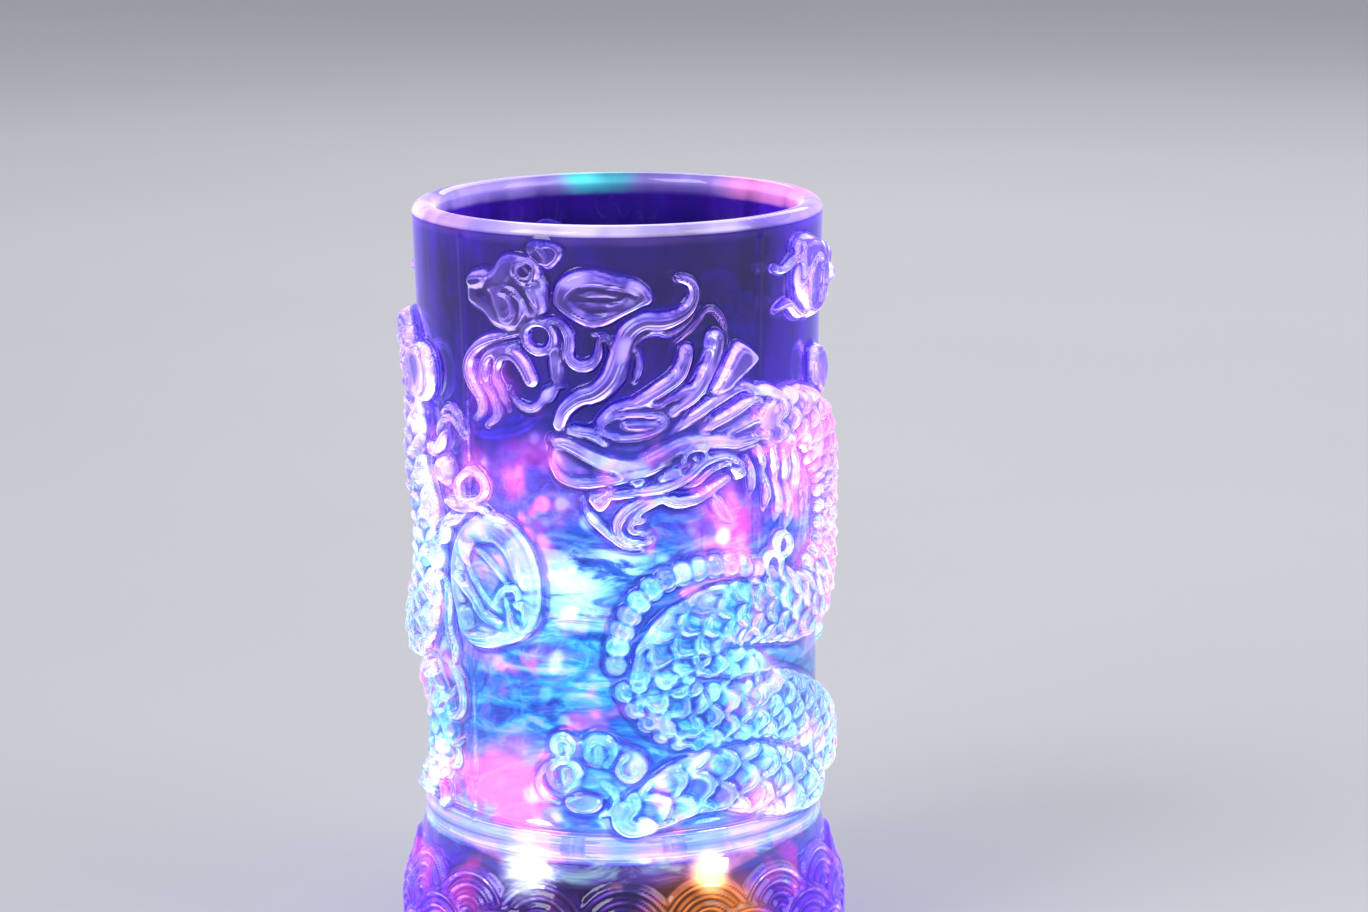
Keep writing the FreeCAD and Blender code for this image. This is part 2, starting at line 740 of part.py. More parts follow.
def build_sensor():
    seals = []
    nuts = []
    leads = []
    for side, x in (("left", "- pin_offset"), ("right", "pin_offset")):
        head = cylinder("pin_head", "pin_head_radius", "floor_top",
                        "floor_top + pin_head_height", x)
        shank = cylinder("pin_shank", "pin_radius", "pin_end", "floor_top + overlap", x)
        blank = fuse(f"pin_blank_{side}", [head, shank])
        dish = doc.addObject("Part::Sphere", "pin_dish")
        dish.setExpression("Radius", formula("pin_crown_radius"))
        place(dish, x, "0", "floor_top + pin_head_height - pin_crown_radius")
        crown = cylinder("pin_crown", "pin_head_radius + overrun", "pin_end - overrun",
                         "floor_top + pin_head_edge", x)
        cap = doc.addObject("Part::MultiCommon", f"pin_{side}")
        cap.Shapes = [blank, fuse(f"pin_form_{side}", [dish, crown])]
        sub_part(f"sensor_pin_{side}", cap)
        seals.append(tube("seal", "seal_radius", "pin_radius + pin_fit",
                          "floor_under - seal_height", "floor_under", x))
        nut = doc.addObject("Part::Prism", "nut_blank")
        nut.Polygon = 6
        nut.setExpression("Circumradius", "Dims.nut_radius")
        nut.setExpression("Height", "Dims.nut_height")
        place(nut, x, "0", "floor_under - seal_height - nut_height")
        bore = cylinder("nut_bore", "pin_radius + pin_fit", "pin_end - overrun", "floor_under", x)
        nuts.append(cut("nut", nut, [bore]))
        leads.append(cylinder("sensor_lead", "sensor_lead_radius", "board_top", "pin_end", x))
    sub_part("sensor_seals", group("seal_set", seals))
    sub_part("sensor_nuts", group("nut_set", nuts))
    sub_part("sensor_leads", group("sensor_lead_set", leads))


# ---- push switch and mode button --------------------------------------------------------

def build_switch():
    case = block("switch_case", "switch_side", "switch_side", "switch_under", "board_under",
                 y="button_y")
    bore = cylinder("switch_bore_tool", "switch_bore", "switch_under - overrun", "switch_bore_top",
                    y="button_y")
    sub_part("tact_switch_body", cut("switch_body", case, [bore]))
    terminals = []
    for x_side in ("-", ""):
        for y_side in ("-", "+"):
            terminals.append(block("terminal", "terminal_length", "terminal_width",
                                   "board_under - terminal_thickness", "board_under",
                                   f"{x_side} ( switch_side + terminal_length ) / 2",
                                   f"button_y {y_side} terminal_y"))
    sub_part("switch_terminals", group("terminal_set", terminals))
    sub_part("switch_plunger", cylinder("plunger", "plunger_radius", "plunger_low", "plunger_top",
                                        y="button_y"))
    cap = cylinder("button_cap", "button_radius", "button_under", "button_flange_top", y="button_y")
    rounded = doc.addObject("Part::Fillet", "button_round")
    rounded.Base = cap
    doc.recompute()
    lowest = min(range(len(cap.Shape.Edges)),
                 key=lambda index: cap.Shape.Edges[index].BoundBox.ZMax)
    rounded.Edges = [(lowest + 1, size("button_edge"), size("button_edge"))]
    flange = cylinder("button_flange", "button_flange_radius", "button_flange_low",
                      "button_flange_top", y="button_y")
    stem = cylinder("button_stem", "stem_radius", "button_flange_top", "plunger_low", y="button_y")
    sub_part("mode_button", fuse("button", [rounded, flange, stem]))


# ---- cells, holder and contacts ---------------------------------------------------------

def lying_cylinder(name, radius, start, length):
    """Cylinder along +X on the cells' common axis."""
    piece = doc.addObject("Part::Cylinder", name)
    piece.setExpression("Radius", formula(radius))
    piece.setExpression("Height", formula(length))
    piece.Placement = FreeCAD.Placement(FreeCAD.Vector(), FreeCAD.Rotation(FreeCAD.Vector(0, 1, 0), 90))
    return place(piece, start, "bay_y", "cell_axis_level")


def build_cells():
    for index in range(3):
        start = f"cell_end - cell_length * {index + 1}"
        can = lying_cylinder(f"can_{index + 1}", "cell_radius", start,
                             "cell_length - cell_cap_height")
        cap = lying_cylinder(f"cap_{index + 1}", "cell_radius - cell_cap_inset",
                             f"{start} + cell_length - cell_cap_height", "cell_cap_height")
        sub_part(f"cell_{index + 1}", fuse(f"button_cell_{index + 1}", [can, cap]))


def build_holder():
    frame = block("holder_frame", "holder_length", "holder_width", "holder_low", "board_under",
                  y="bay_y")
    bay = block("holder_bay", "holder_bay_length", "holder_bay_width", "holder_low - overrun",
                "board_under + overrun", y="bay_y")
    sub_part("battery_holder", cut("holder", frame, [bay]))
    sub_part("positive_contact", block(
        "contact_plate", "contact_thickness", "contact_width", "contact_low", "board_under",
        "holder_bay_length / 2 - contact_thickness / 2", "bay_y"))
    wire = size("spring_wire")
    plate_face = -size("holder_bay_length") / 2 + size("contact_thickness")
    cell_face = size("cell_end") - 3 * size("cell_length")
    bite = size("spring_bite")
    rise = cell_face - plate_face - 2 * wire + bite - size("spring_end_gap")
    helix = Part.makeHelix(rise / size("spring_turns"), rise, size("spring_radius"))
    section = Part.Wire(Part.makeCircle(wire, FreeCAD.Vector(size("spring_radius"), 0, 0),
                                        FreeCAD.Vector(0, 1, 0)))
    coil = doc.addObject("Part::Feature", "spring_coil")
    coil.Shape = Part.Wire(helix).makePipeShell([section], True, True)
    coil.Placement = FreeCAD.Placement(
        FreeCAD.Vector(plate_face + wire - bite, size("bay_y"), size("cell_axis_level")),
        FreeCAD.Rotation(FreeCAD.Vector(0, 1, 0), 90))
    plate = block("spring_plate", "contact_thickness", "contact_width", "contact_low", "board_under",
                  "contact_thickness / 2 - holder_bay_length / 2", "bay_y")
    sub_part("negative_spring", fuse("spring", [coil, plate]))


# ---- battery door -----------------------------------------------------------------------

def build_door():
    panel = door_outline("door_panel", "0", "door_under", "door_top")
    sink = cylinder("door_screw_recess", "door_screw_sink", "door_under - overrun",
                    "door_screw_seat", "ear_x", "bay_y")
    way = cylinder("door_screw_hole", "door_screw_way", "door_under - overrun",
                   "door_top + overrun", "ear_x", "bay_y")
    grips = [block("door_grip", "grip_width", "grip_length", "door_under - overrun",
                   "door_under + grip_depth", f"grip_first + grip_pitch * {index}", "bay_y")
             for index in range(4)]
    sub_part("battery_door", cut("door", panel, [sink, way] + grips))
    seal_outer = fuse("door_seal_outer", rounded_oblong(
        "seal", "door_length", "door_width", "door_corner", "door_top", "ledge_under"))
    seal_inner = block("door_seal_inner", "door_length - 2 * ( ledge_width - door_seal_inset )",
                       "door_width - 2 * ( ledge_width - door_seal_inset )",
                       "door_top - overrun", "ledge_under + overrun", y="bay_y")
    sub_part("door_gasket", cut("door_seal", seal_outer, [seal_inner]))
    sub_part("door_screw", pan_screw("captive_screw", "door_screw_head", "door_screw_radius",
                                     "door_screw_low", "door_screw_seat", "door_screw_tip",
                                     "ear_x", "bay_y"))
    sub_part("door_insert", tube("insert", "insert_radius", "insert_bore", "ledge_under",
                                 "insert_top", "ear_x", "bay_y"))


def write_sub_parts():
    """Check the document and every sub-part, then write one file for each node."""
    doc.recompute()
    for item in doc.Objects:
        if "Invalid" in item.State or "Error" in item.State:
            raise RuntimeError(f"{item.Name} did not compute: {item.State}")
    os.makedirs("parts", exist_ok=True)
    for piece in sub_parts:
        shape = piece.Shape
        if shape.isNull() or not shape.isValid() or not shape.Solids:
            raise RuntimeError(f"{piece.Label} is not a valid solid")
    for piece in sub_parts:
        piece.Shape.exportStep(f"parts/{piece.Label}.step")
        box = piece.Shape.BoundBox
        print(f"{piece.Label:18s} solids {len(piece.Shape.Solids)}  volume {piece.Shape.Volume:9.1f}"
              f"  z {box.ZMin:6.2f} to {box.ZMax:6.2f}  x {box.XMin:6.2f} to {box.XMax:6.2f}")


build_cup()
build_base_plate()
build_base_fixings()
build_lamp_housing()
build_board()
build_lamps()
build_electronics()
build_sensor()
build_switch()
build_cells()
build_holder()
build_door()
write_sub_parts()
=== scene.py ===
import bpy
import json
import math
import numpy as np
from mathutils import Matrix, Vector
from types import SimpleNamespace


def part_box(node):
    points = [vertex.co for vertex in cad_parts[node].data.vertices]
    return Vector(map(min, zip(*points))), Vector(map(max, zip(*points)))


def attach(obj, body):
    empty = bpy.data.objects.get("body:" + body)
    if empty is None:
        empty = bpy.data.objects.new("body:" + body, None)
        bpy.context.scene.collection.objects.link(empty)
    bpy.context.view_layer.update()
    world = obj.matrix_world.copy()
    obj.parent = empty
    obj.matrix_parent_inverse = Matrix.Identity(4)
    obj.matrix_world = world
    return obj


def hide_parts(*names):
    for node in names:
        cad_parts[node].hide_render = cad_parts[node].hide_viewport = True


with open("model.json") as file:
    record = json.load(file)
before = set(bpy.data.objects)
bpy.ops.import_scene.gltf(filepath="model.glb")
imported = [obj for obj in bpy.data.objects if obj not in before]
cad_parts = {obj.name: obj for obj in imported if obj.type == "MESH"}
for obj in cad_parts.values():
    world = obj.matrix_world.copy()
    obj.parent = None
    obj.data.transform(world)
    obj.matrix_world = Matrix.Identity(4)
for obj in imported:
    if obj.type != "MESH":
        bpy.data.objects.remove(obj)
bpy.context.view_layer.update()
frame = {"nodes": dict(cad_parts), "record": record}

# ---- sizes of the moulding in mm ---------------------------------------------------------

MM = 0.001
cup_low, cup_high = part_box("cup_body")
CUP_TOP = cup_high.z / MM
SKIRT_FOOT = cup_low.z / MM
SKIRT_RADIUS = 41.9
SKIRT_PROUD = 0.35
WALL_RADIUS = 37.0
LIP_RADIUS = 2.2
LIP_MIDDLE = 35.8
LIP_LEVEL = CUP_TOP - LIP_RADIUS
LIP_RINGS = 12
BOWL_RADIUS = LIP_MIDDLE - LIP_RADIUS
BOWL_DRAFT = 0.5
BOWL_MEAN = 33.3
CORNER_RADIUS = 4.0
FLOOR_TOP = 30.0
FLOOR_UNDER = 26.5

# ---- the relief: height in mm over the plain wall, on a grid of arc (s) by level (z) ----

AROUND = 2 * math.pi * WALL_RADIUS
ARC_COUNT = 620
LEVEL_STEP = 0.375      # as long as a step of arc


def smooth_path(points, closed=False, steps=6):
    """Catmull-Rom curve through the points."""
    points = [np.array(point, float) for point in points]
    if closed:
        knots = [points[-1]] + points + points[:2]
    else:
        knots = [2 * points[0] - points[1]] + points + [2 * points[-1] - points[-2]]
    path = []
    for before, start, end, after in zip(knots, knots[1:], knots[2:], knots[3:]):
        for step in range(steps):
            t = step / steps
            path.append(0.5 * (2 * start + (end - before) * t
                               + (2 * before - 5 * start + 4 * end - after) * t * t
                               + (3 * start - before - 3 * end + after) * t ** 3))
    path.append(knots[-2])
    return np.array(path)


def ring_points(s, z, radius, count=10, squash=1.0):
    """Points of a closed round or oval outline."""
    turns = [2 * math.pi * index / count for index in range(count)]
    return [(s + radius * math.cos(turn), z + radius * squash * math.sin(turn)) for turn in turns]


class Relief:
    """Height field that is built up feature by feature."""

    def __init__(self):
        self.arcs = (np.arange(ARC_COUNT) - ARC_COUNT // 2) * AROUND / ARC_COUNT
        count = round((LIP_LEVEL - SKIRT_FOOT) / LEVEL_STEP)
        self.levels = np.linspace(SKIRT_FOOT, LIP_LEVEL, count + 1)
        self.height = np.zeros((len(self.levels), ARC_COUNT))

    def window(self, path, reach):
        """The part of the grid within reach of a path, and its s and z coordinates."""
        low, high = path[:, 0].min(), path[:, 0].max()
        middle = (low + high) / 2
        arcs = (self.arcs - middle + AROUND / 2) % AROUND - AROUND / 2 + middle
        columns = np.flatnonzero((arcs > low - reach) & (arcs < high + reach))
        rows = np.flatnonzero((self.levels > path[:, 1].min() - reach)
                              & (self.levels < path[:, 1].max() + reach))
        s, z = np.meshgrid(arcs[columns], self.levels[rows])
        return np.ix_(rows, columns), s, z

    def raise_to(self, where, shape, softness=0.5):
        """Smooth union of the surface with a new shape."""
        old = self.height[where]
        overlap = np.clip(softness - np.abs(old - shape), 0, None) / softness
        self.height[where] = np.maximum(old, shape) + np.where(shape > 0, overlap ** 2 * softness / 4, 0)

    def put(self, where, shape, add):
        """Add the shape to the surface, or join it to the surface."""
        if add:
            self.height[where] += shape
        else:
            self.raise_to(where, shape)


def measure(path, s, z):
    """Distance to a path, place along it, signed distance to its left, and the path's length."""
    best = np.full(s.shape, 1e9)
    travelled = np.zeros(s.shape)
    side = np.zeros(s.shape)
    start_length = 0.0
    for start, end in zip(path[:-1], path[1:]):
        run = end - start
        length = math.hypot(*run)
        if length < 1e-9:
            continue
        share = np.clip(((s - start[0]) * run[0] + (z - start[1]) * run[1]) / length ** 2, 0, 1)
        off_s = s - start[0] - share * run[0]
        off_z = z - start[1] - share * run[1]
        distance = np.hypot(off_s, off_z)
        closer = distance < best
        best = np.where(closer, distance, best)
        travelled = np.where(closer, start_length + share * length, travelled)
        turn = np.sign(run[0] * off_z - run[1] * off_s)
        side = np.where(closer, turn * distance, side)
        start_length += length
    return best, travelled, side, start_length


def inside(path, s, z):
    """Even-odd test against a closed outline."""
    result = np.zeros(s.shape, bool)
    for start, end in zip(path[:-1], path[1:]):
        crosses = (start[1] > z) != (end[1] > z)
        rise = end[1] - start[1]
        if abs(rise) < 1e-9:
            continue
        at = start[0] + (z - start[1]) / rise * (end[0] - start[0])
        result ^= crosses & (s < at)
    return result


def stroke(relief, points, width, height, ends=(0.5, 0.5), closed=False, add=False):
    """Rounded ridge along a path; ends gives the share of the width left at its two ends."""
    path = smooth_path(points, closed)
    where, s, z = relief.window(path, width)
    distance, travelled, _, length = measure(path, s, z)
    share = travelled / length
    if closed:
        taper = 1.0
    else:
        taper = np.interp(share, [0, 0.3, 0.7, 1], [ends[0], 1, 1, ends[1]])
    round_top = np.sqrt(np.clip(1 - (distance / (width / 2 * taper)) ** 2, 0, 1))
    shape = height * round_top * np.sqrt(taper)
    relief.put(where, shape, add)


def strokes(relief, rows, **settings):
    """A ridge for each row of points, width, height and, where they are given, ends."""
    for row in rows:
        stroke(relief, *row, **settings)


def pad(relief, points, height, edge, dish=0.0, add=False, power=0.5):
    """Filled outline with a rounded shoulder, gentler with more power; dish sinks its middle."""
    path = smooth_path(points, closed=True)
    where, s, z = relief.window(path, 1.0)
    distance, _, _, _ = measure(path, s, z)
    depth = np.where(inside(path, s, z), distance, 0)
    shoulder = np.clip(depth / edge, 0, 1)
    shape = height * (1 - (1 - shoulder) ** 2) ** power
    shape -= dish * np.clip((depth - edge) / edge, 0, 1) ** 2
    relief.put(where, shape, add)


def scales(travelled, side, length, width):
    """Overlapping round scales; each rises towards its free edge, which has a rim."""
    cover = np.zeros(travelled.shape)
    row = np.floor(travelled / length)
    for step in (-1, 0, 1, 2):
        this_row = row - step
        shift = 0.5 * (this_row % 2)
        column = np.round(side / width - shift) + shift
        along = (travelled - (this_row + 0.3) * length) / (length * 1.25)
        across = (side - column * width) / (width * 0.56)
        reach = np.hypot(along, across)
        body = 0.12 + 0.62 * along - 0.12 * across ** 2
        rim = 0.30 * np.exp(-((reach - 0.86) / 0.10) ** 2)
        shape = np.where(reach < 1, np.clip(body + rim, 0.02, None), 0)
        cover = np.where(shape > 0, shape, cover)
    return cover


def scaled_limb(relief, points, widths, height, scale, depth=1.25):
    """Thick rounded limb with scales; widths gives its width along its length."""
    path = smooth_path(points)
    widest = max(widths)
    where, s, z = relief.window(path, widest)
    distance, travelled, side, length = measure(path, s, z)
    width = np.interp(travelled / length, np.linspace(0, 1, len(widths)), widths)
    ratio = np.clip(distance / (width / 2), 0, 1)
    trunk = height * (1 - ratio ** 2.6) ** 0.6
    pattern = scales(travelled, side, scale[0], scale[1])
    fade = np.clip((1 - ratio) / 0.12, 0, 1)
    shape = trunk + depth * pattern * fade
    relief.raise_to(where, np.where(ratio < 1, shape, 0))


def beads(relief, points, radius, height, spacing):
    """Row of overlapping domes, the spines of the back."""
    path = smooth_path(points)
    lengths = np.concatenate([[0], np.cumsum(np.hypot(*np.diff(path, axis=0).T))])
    for at in np.arange(spacing / 2, lengths[-1], spacing):
        s = np.interp(at, lengths, path[:, 0])
        z = np.interp(at, lengths, path[:, 1])
        boss(relief, s, z, radius, height)


def boss(relief, s, z, radius, height):
    """Round dome."""
    pad(relief, ring_points(s, z, radius), height, radius * 0.95, power=0.75)


def toe(relief, s, z, radius, opening):
    """Dome with a C-shaped ridge and a short nail; the ridge's gap is at opening, in degrees."""
    boss(relief, s, z, radius, 2.3)
    hook = []
    for step in range(9):
        turn = math.radians(opening + 50 + 260 * step / 8)
        reach = radius * (0.74 - 0.03 * step)
        hook.append((s + reach * math.cos(turn), z + reach * math.sin(turn)))
    stroke(relief, hook, radius * 0.34, 0.9, (0.8, 0.4), add=True)
    middle = s + radius * 0.15 * math.cos(math.radians(opening))
    tip = radius * 0.32
    stroke(relief, [(middle, z + tip), (middle + radius * 0.1, z), (middle, z - tip)],
           radius * 0.3, 0.7, (0.5, 0.5), add=True)


def curl(relief, s, z, radius, flip, width, height):
    """Raised spiral of a turn and a half."""
    points = []
    for step in range(11):
        turn = math.pi * (step * 0.3 - 0.4)
        reach = radius * (1 - 0.08 * step)
        points.append((s + flip * reach * math.cos(turn), z + reach * math.sin(turn)))
    stroke(relief, points, width, height, (0.4, 0.7), add=True)


def swirl_cloud(relief, s, z, size, flip=1):
    """Cloud with a scalloped top, a flat foot, three spirals and a wisp under it."""
    def place(points):
        return [(s + flip * size * along, z + size * up) for along, up in points]

    pad(relief, place([(-1.15, -0.30), (-1.25, 0.05), (-0.95, 0.35), (-0.70, 0.40), (-0.55, 0.72),
                       (-0.10, 0.90), (0.30, 0.72), (0.42, 0.52), (0.75, 0.58), (1.05, 0.35),
                       (1.10, 0.00), (0.90, -0.25), (0.40, -0.35), (-0.30, -0.32), (-0.80, -0.45)]),
        2.5, size * 0.30, dish=0.5)
    for along, up, radius, way, width, height in ((-0.10, 0.28, 0.42, 1, 0.17, 0.9),
                                                  (0.72, 0.14, 0.27, -1, 0.13, 0.8),
                                                  (-0.85, -0.02, 0.25, 1, 0.13, 0.8)):
        curl(relief, s + flip * size * along, z + size * up, size * radius, flip * way,
             size * width, height)
    stroke(relief, place([(0.80, -0.42), (0.20, -0.58), (-0.50, -0.62), (-1.20, -0.55),
                          (-1.70, -0.25), (-2.00, -0.30)]), size * 0.22, 1.9, (0.3, 0.3))


def clouds(relief):
    """Two clouds above the head, a drop and a cloud to its right, swirl clouds round the back."""
    pad(relief, [(-28.5, 131), (-28, 134.5), (-25, 135.6), (-23, 135.6), (-21, 138), (-18, 138.8),
                 (-15.5, 138), (-12.5, 134), (-12, 130), (-13.5, 127.5), (-16, 126), (-17.5, 124.8),
                 (-20, 124.5), (-23, 125.5), (-25, 127.5), (-28, 129)], 2.3, 2.2, dish=0.6)
    stroke(relief, [(-22.5, 132.3), (-19.5, 132.5), (-17, 131), (-16.1, 128.5), (-17.5, 125.8)],
           1.1, 0.7, add=True)
    pad(relief, [(-22.5, 132), (-21, 128), (-20, 126.8), (-18.5, 127), (-17.6, 129), (-19, 131.6)],
        1.1, 1.1, add=True)
    pad(relief, [(-15.8, 132.8), (-14, 133.3), (-12.9, 131.5), (-12.5, 129), (-13.1, 128.6),
                 (-14.5, 130.2)], 1.0, 0.9, add=True)
    pad(relief, [(-28, 134), (-24.5, 135), (-23.4, 133.7), (-25, 132.4), (-27.5, 132.6)], 0.6, 0.8,
        add=True)
    pad(relief, [(-14.4, 142.2), (-11.2, 141.2), (-9.6, 139.2), (-11.6, 136.4), (-14.4, 137.2),
                 (-16.2, 139.6)], 1.5, 0.8)
    stroke(relief, [(-14.6, 141.4), (-12.6, 139), (-12, 137.4)], 0.7, 0.5, add=True)
    stroke(relief, ring_points(-15.8, 136.0, 1.9), 0.9, 3.1, closed=True)
    pad(relief, [(-11.5, 131), (-10.5, 134), (-8, 136), (-5, 136.5), (-1, 135.7), (3, 134.6),
                 (5.3, 132.6), (5.8, 130.6), (4, 129.5), (1, 128), (-2, 126.4), (-5, 126),
                 (-8, 127.3), (-10.5, 129.2)], 2.1, 1.6, dish=0.8)
    for path in ([(-9.3, 131.5), (-7, 133.6), (-3, 134), (2, 133.2), (4.4, 131.6)],
                 [(-8.5, 129.3), (-5, 127.6), (-1, 128.2), (3, 129.8)],
                 [(-7, 131.9), (-3, 132.3), (0, 131.8), (2.4, 131.2)],
                 [(-7, 130.4), (-3, 129.8), (1, 130.6)]):
        stroke(relief, path, 0.9, 0.6, add=True)
    pad(relief, [(36, 139), (40, 139.5), (44, 138.5), (47, 136), (49, 131), (47, 126), (43, 124),
                 (39.5, 124.3), (36.5, 127), (35.5, 131), (35.3, 135.5)], 2.9, 2.6, dish=0.4)
    stroke(relief, [(38, 127), (37.6, 131), (39.5, 134.5), (42.2, 135), (43.2, 131), (42, 127.2),
                    (40, 125.8)], 1.2, 0.9, closed=True, add=True)
    stroke(relief, [(30, 134.5), (33, 134), (37, 136.6), (41, 137.6), (44, 136.2)], 1.7, 2.0)
    stroke(relief, [(31, 126.8), (34, 127.6), (37, 125.6), (40.5, 124.6)], 1.9, 2.0)
    pad(relief, [(43, 117.5), (47, 118.4), (50, 114.5), (49, 110.5), (45.5, 108.5), (43, 111)], 2.8, 2.4)
    for s, z, size, flip in ((68, 129, 7, 1), (92, 118, 10, -1), (132, 125, 11, 1), (-76, 130, 7, -1),
                             (78, 84, 7.5, 1), (73, 58, 7, -1), (137, 48, 11, 1), (102, 98, 7, -1),
                             (-74, 48, 6.5, 1), (-86, 100, 8, 1)):
        swirl_cloud(relief, s, z, size, flip)


def mane(relief):
    """Forelock, long whisker, horns, mane and cheek tufts, with a few rings and drops."""
    strokes(relief, [
        ([(-17, 124.6), (-21, 123.6), (-25, 122.2), (-28, 120), (-29.2, 117), (-28, 114),
          (-26.5, 112), (-26.5, 109.5), (-28.5, 107.8)], 2.3, 2.1, (0.5, 0.4)),
        ([(-18, 122.5), (-21.5, 121.5), (-24.5, 119.5), (-25.4, 117), (-24.5, 114.5), (-23, 112),
          (-23, 109), (-25.5, 107)], 2.2, 2.1, (0.5, 0.4)),
        ([(-22.6, 118.3), (-21.5, 120.2), (-19, 120.5), (-17, 118.5), (-15.8, 116)], 2.7, 2.3, (0.6, 0.9)),
        ([(-23, 118), (-22.8, 115.5), (-21.5, 113.5), (-20.5, 110)], 1.7, 1.7, (0.7, 0.3)),
        ([(-12.5, 127.2), (-10, 126.5), (-8.6, 124), (-8.8, 121), (-7.3, 119.2), (-5, 119.3),
          (-3.6, 121), (-3.2, 124)], 2.1, 2.0, (0.5, 0.5)),
        ([(-11.4, 124), (-11, 120), (-11, 116.8)], 3.2, 1.6, (0.6, 0.8)),
        ([(-20.3, 114.5), (-19.3, 112.3), (-17, 111), (-15, 111.2), (-13.5, 112.8), (-11.5, 115),
          (-9.5, 115.2)], 1.5, 1.5, (0.4, 0.5)),
        ([(-13.6, 112.6), (-11.6, 114.6)], 2.8, 1.7, (0.7, 0.7)),
        ([(-4.5, 124.9), (-2.2, 124), (-1.2, 121.5), (-2.2, 119)], 1.2, 1.3, (0.4, 0.4)),
        ([(-10.5, 108.5), (-9.5, 111), (-7, 113.2), (-4, 114.4), (-1.5, 117), (0, 121), (1.5, 125),
          (4, 127), (7, 127), (9.5, 127.5), (12, 129), (13.2, 131.5), (12.6, 133.6), (10.5, 134.6)],
         3.5, 3.0, (0.7, 0.3)),
        ([(-5, 112.2), (-2, 113.8), (0.6, 117), (1.8, 121), (3.4, 123.9), (6, 125), (9, 124.7),
          (12, 126.4), (14.5, 129.5)], 1.4, 1.4, (0.5, 0.3)),
        ([(3.2, 122), (3.4, 119), (2.6, 116)], 1.6, 1.4, (0.6, 0.4)),
        ([(3.5, 112.5), (6.5, 114.3), (10, 116.8), (11.2, 119), (11.8, 121.2)], 3.0, 2.8, (0.9, 0.9)),
        ([(9, 110.5), (13, 113.5), (15.5, 117.5), (17, 121), (17.3, 123.2)], 3.2, 2.8, (0.7, 1.0)),
        ([(10, 123), (13.5, 126), (16, 128.6), (18.5, 127), (19.5, 123.5), (19.9, 120)], 0.9, 1.0,
         (0.6, 0.6)),
        ([(5, 110.8), (9, 113), (13, 114.4), (16, 113.2)], 1.9, 2.3, (0.5, 0.5)),
        ([(8, 106.3), (12, 109), (17, 112), (22, 114), (26, 113)], 2.4, 2.9, (0.4, 0.6)),
        ([(10, 105.4), (15, 107.2), (20, 109.3), (25, 111.4), (28, 110.2)], 2.3, 2.8, (0.4, 0.6)),
        ([(15, 104.9), (20, 106.2), (25, 107.8), (29, 108.4)], 2.2, 2.7, (0.4, 0.6)),
        ([(24, 113), (28, 112.4), (32, 110.6), (37, 109.4)], 3.0, 3.0, (0.5, 0.6)),
        ([(26, 108.6), (29.5, 106.5), (31, 103)], 2.0, 2.1, (0.6, 0.3)),
        ([(29, 109), (32, 106.6), (33.6, 102.6)], 1.8, 2.2, (0.6, 0.3)),
        ([(32, 109.4), (35.2, 106.4), (36.6, 102)], 1.8, 2.3, (0.6, 0.3)),
        ([(25, 104.8), (27.2, 101.4), (28.2, 97.2)], 1.8, 1.9, (0.6, 0.3)),
        ([(28.4, 104.8), (30.4, 100.4), (31.2, 95.4)], 1.9, 2.1, (0.6, 0.3)),
        ([(31.6, 104.2), (33.6, 99.6), (34, 94)], 1.9, 2.2, (0.6, 0.3)),
        ([(34.8, 103), (36.6, 97.4), (36.6, 91)], 1.9, 2.3, (0.6, 0.3)),
        ([(24, 101.2), (25.4, 97.2), (25.2, 93.4)], 1.6, 1.6, (0.6, 0.3)),
        ([(27.4, 98.4), (29, 94), (28.6, 90.4)], 1.7, 1.7, (0.6, 0.3)),
        ([(30.6, 96.4), (32.2, 92), (32, 88)], 1.8, 1.9, (0.6, 0.3)),
        ([(34, 94.6), (35.2, 90), (34.2, 85.6)], 1.8, 2.0, (0.6, 0.3)),
        ([(16.6, 95.4), (18.8, 91.8), (21.2, 89.4)], 2.5, 1.9, (0.4, 0.4)),
    ])
    pad(relief, [(16, 113.5), (18, 117.5), (20.5, 121.4), (22.5, 122), (26, 119.4), (25.3, 117.8),
                 (22, 115.3), (19, 113)], 3.2, 2.0)
    for s, z, radius in ((-14, 124, 2.7), (33, 83.2, 2.0), (30, 80, 2.1)):
        stroke(relief, ring_points(s, z, radius), 1.4, 2.4, closed=True)
    boss(relief, 34.8, 77, 1.9, 2.6)


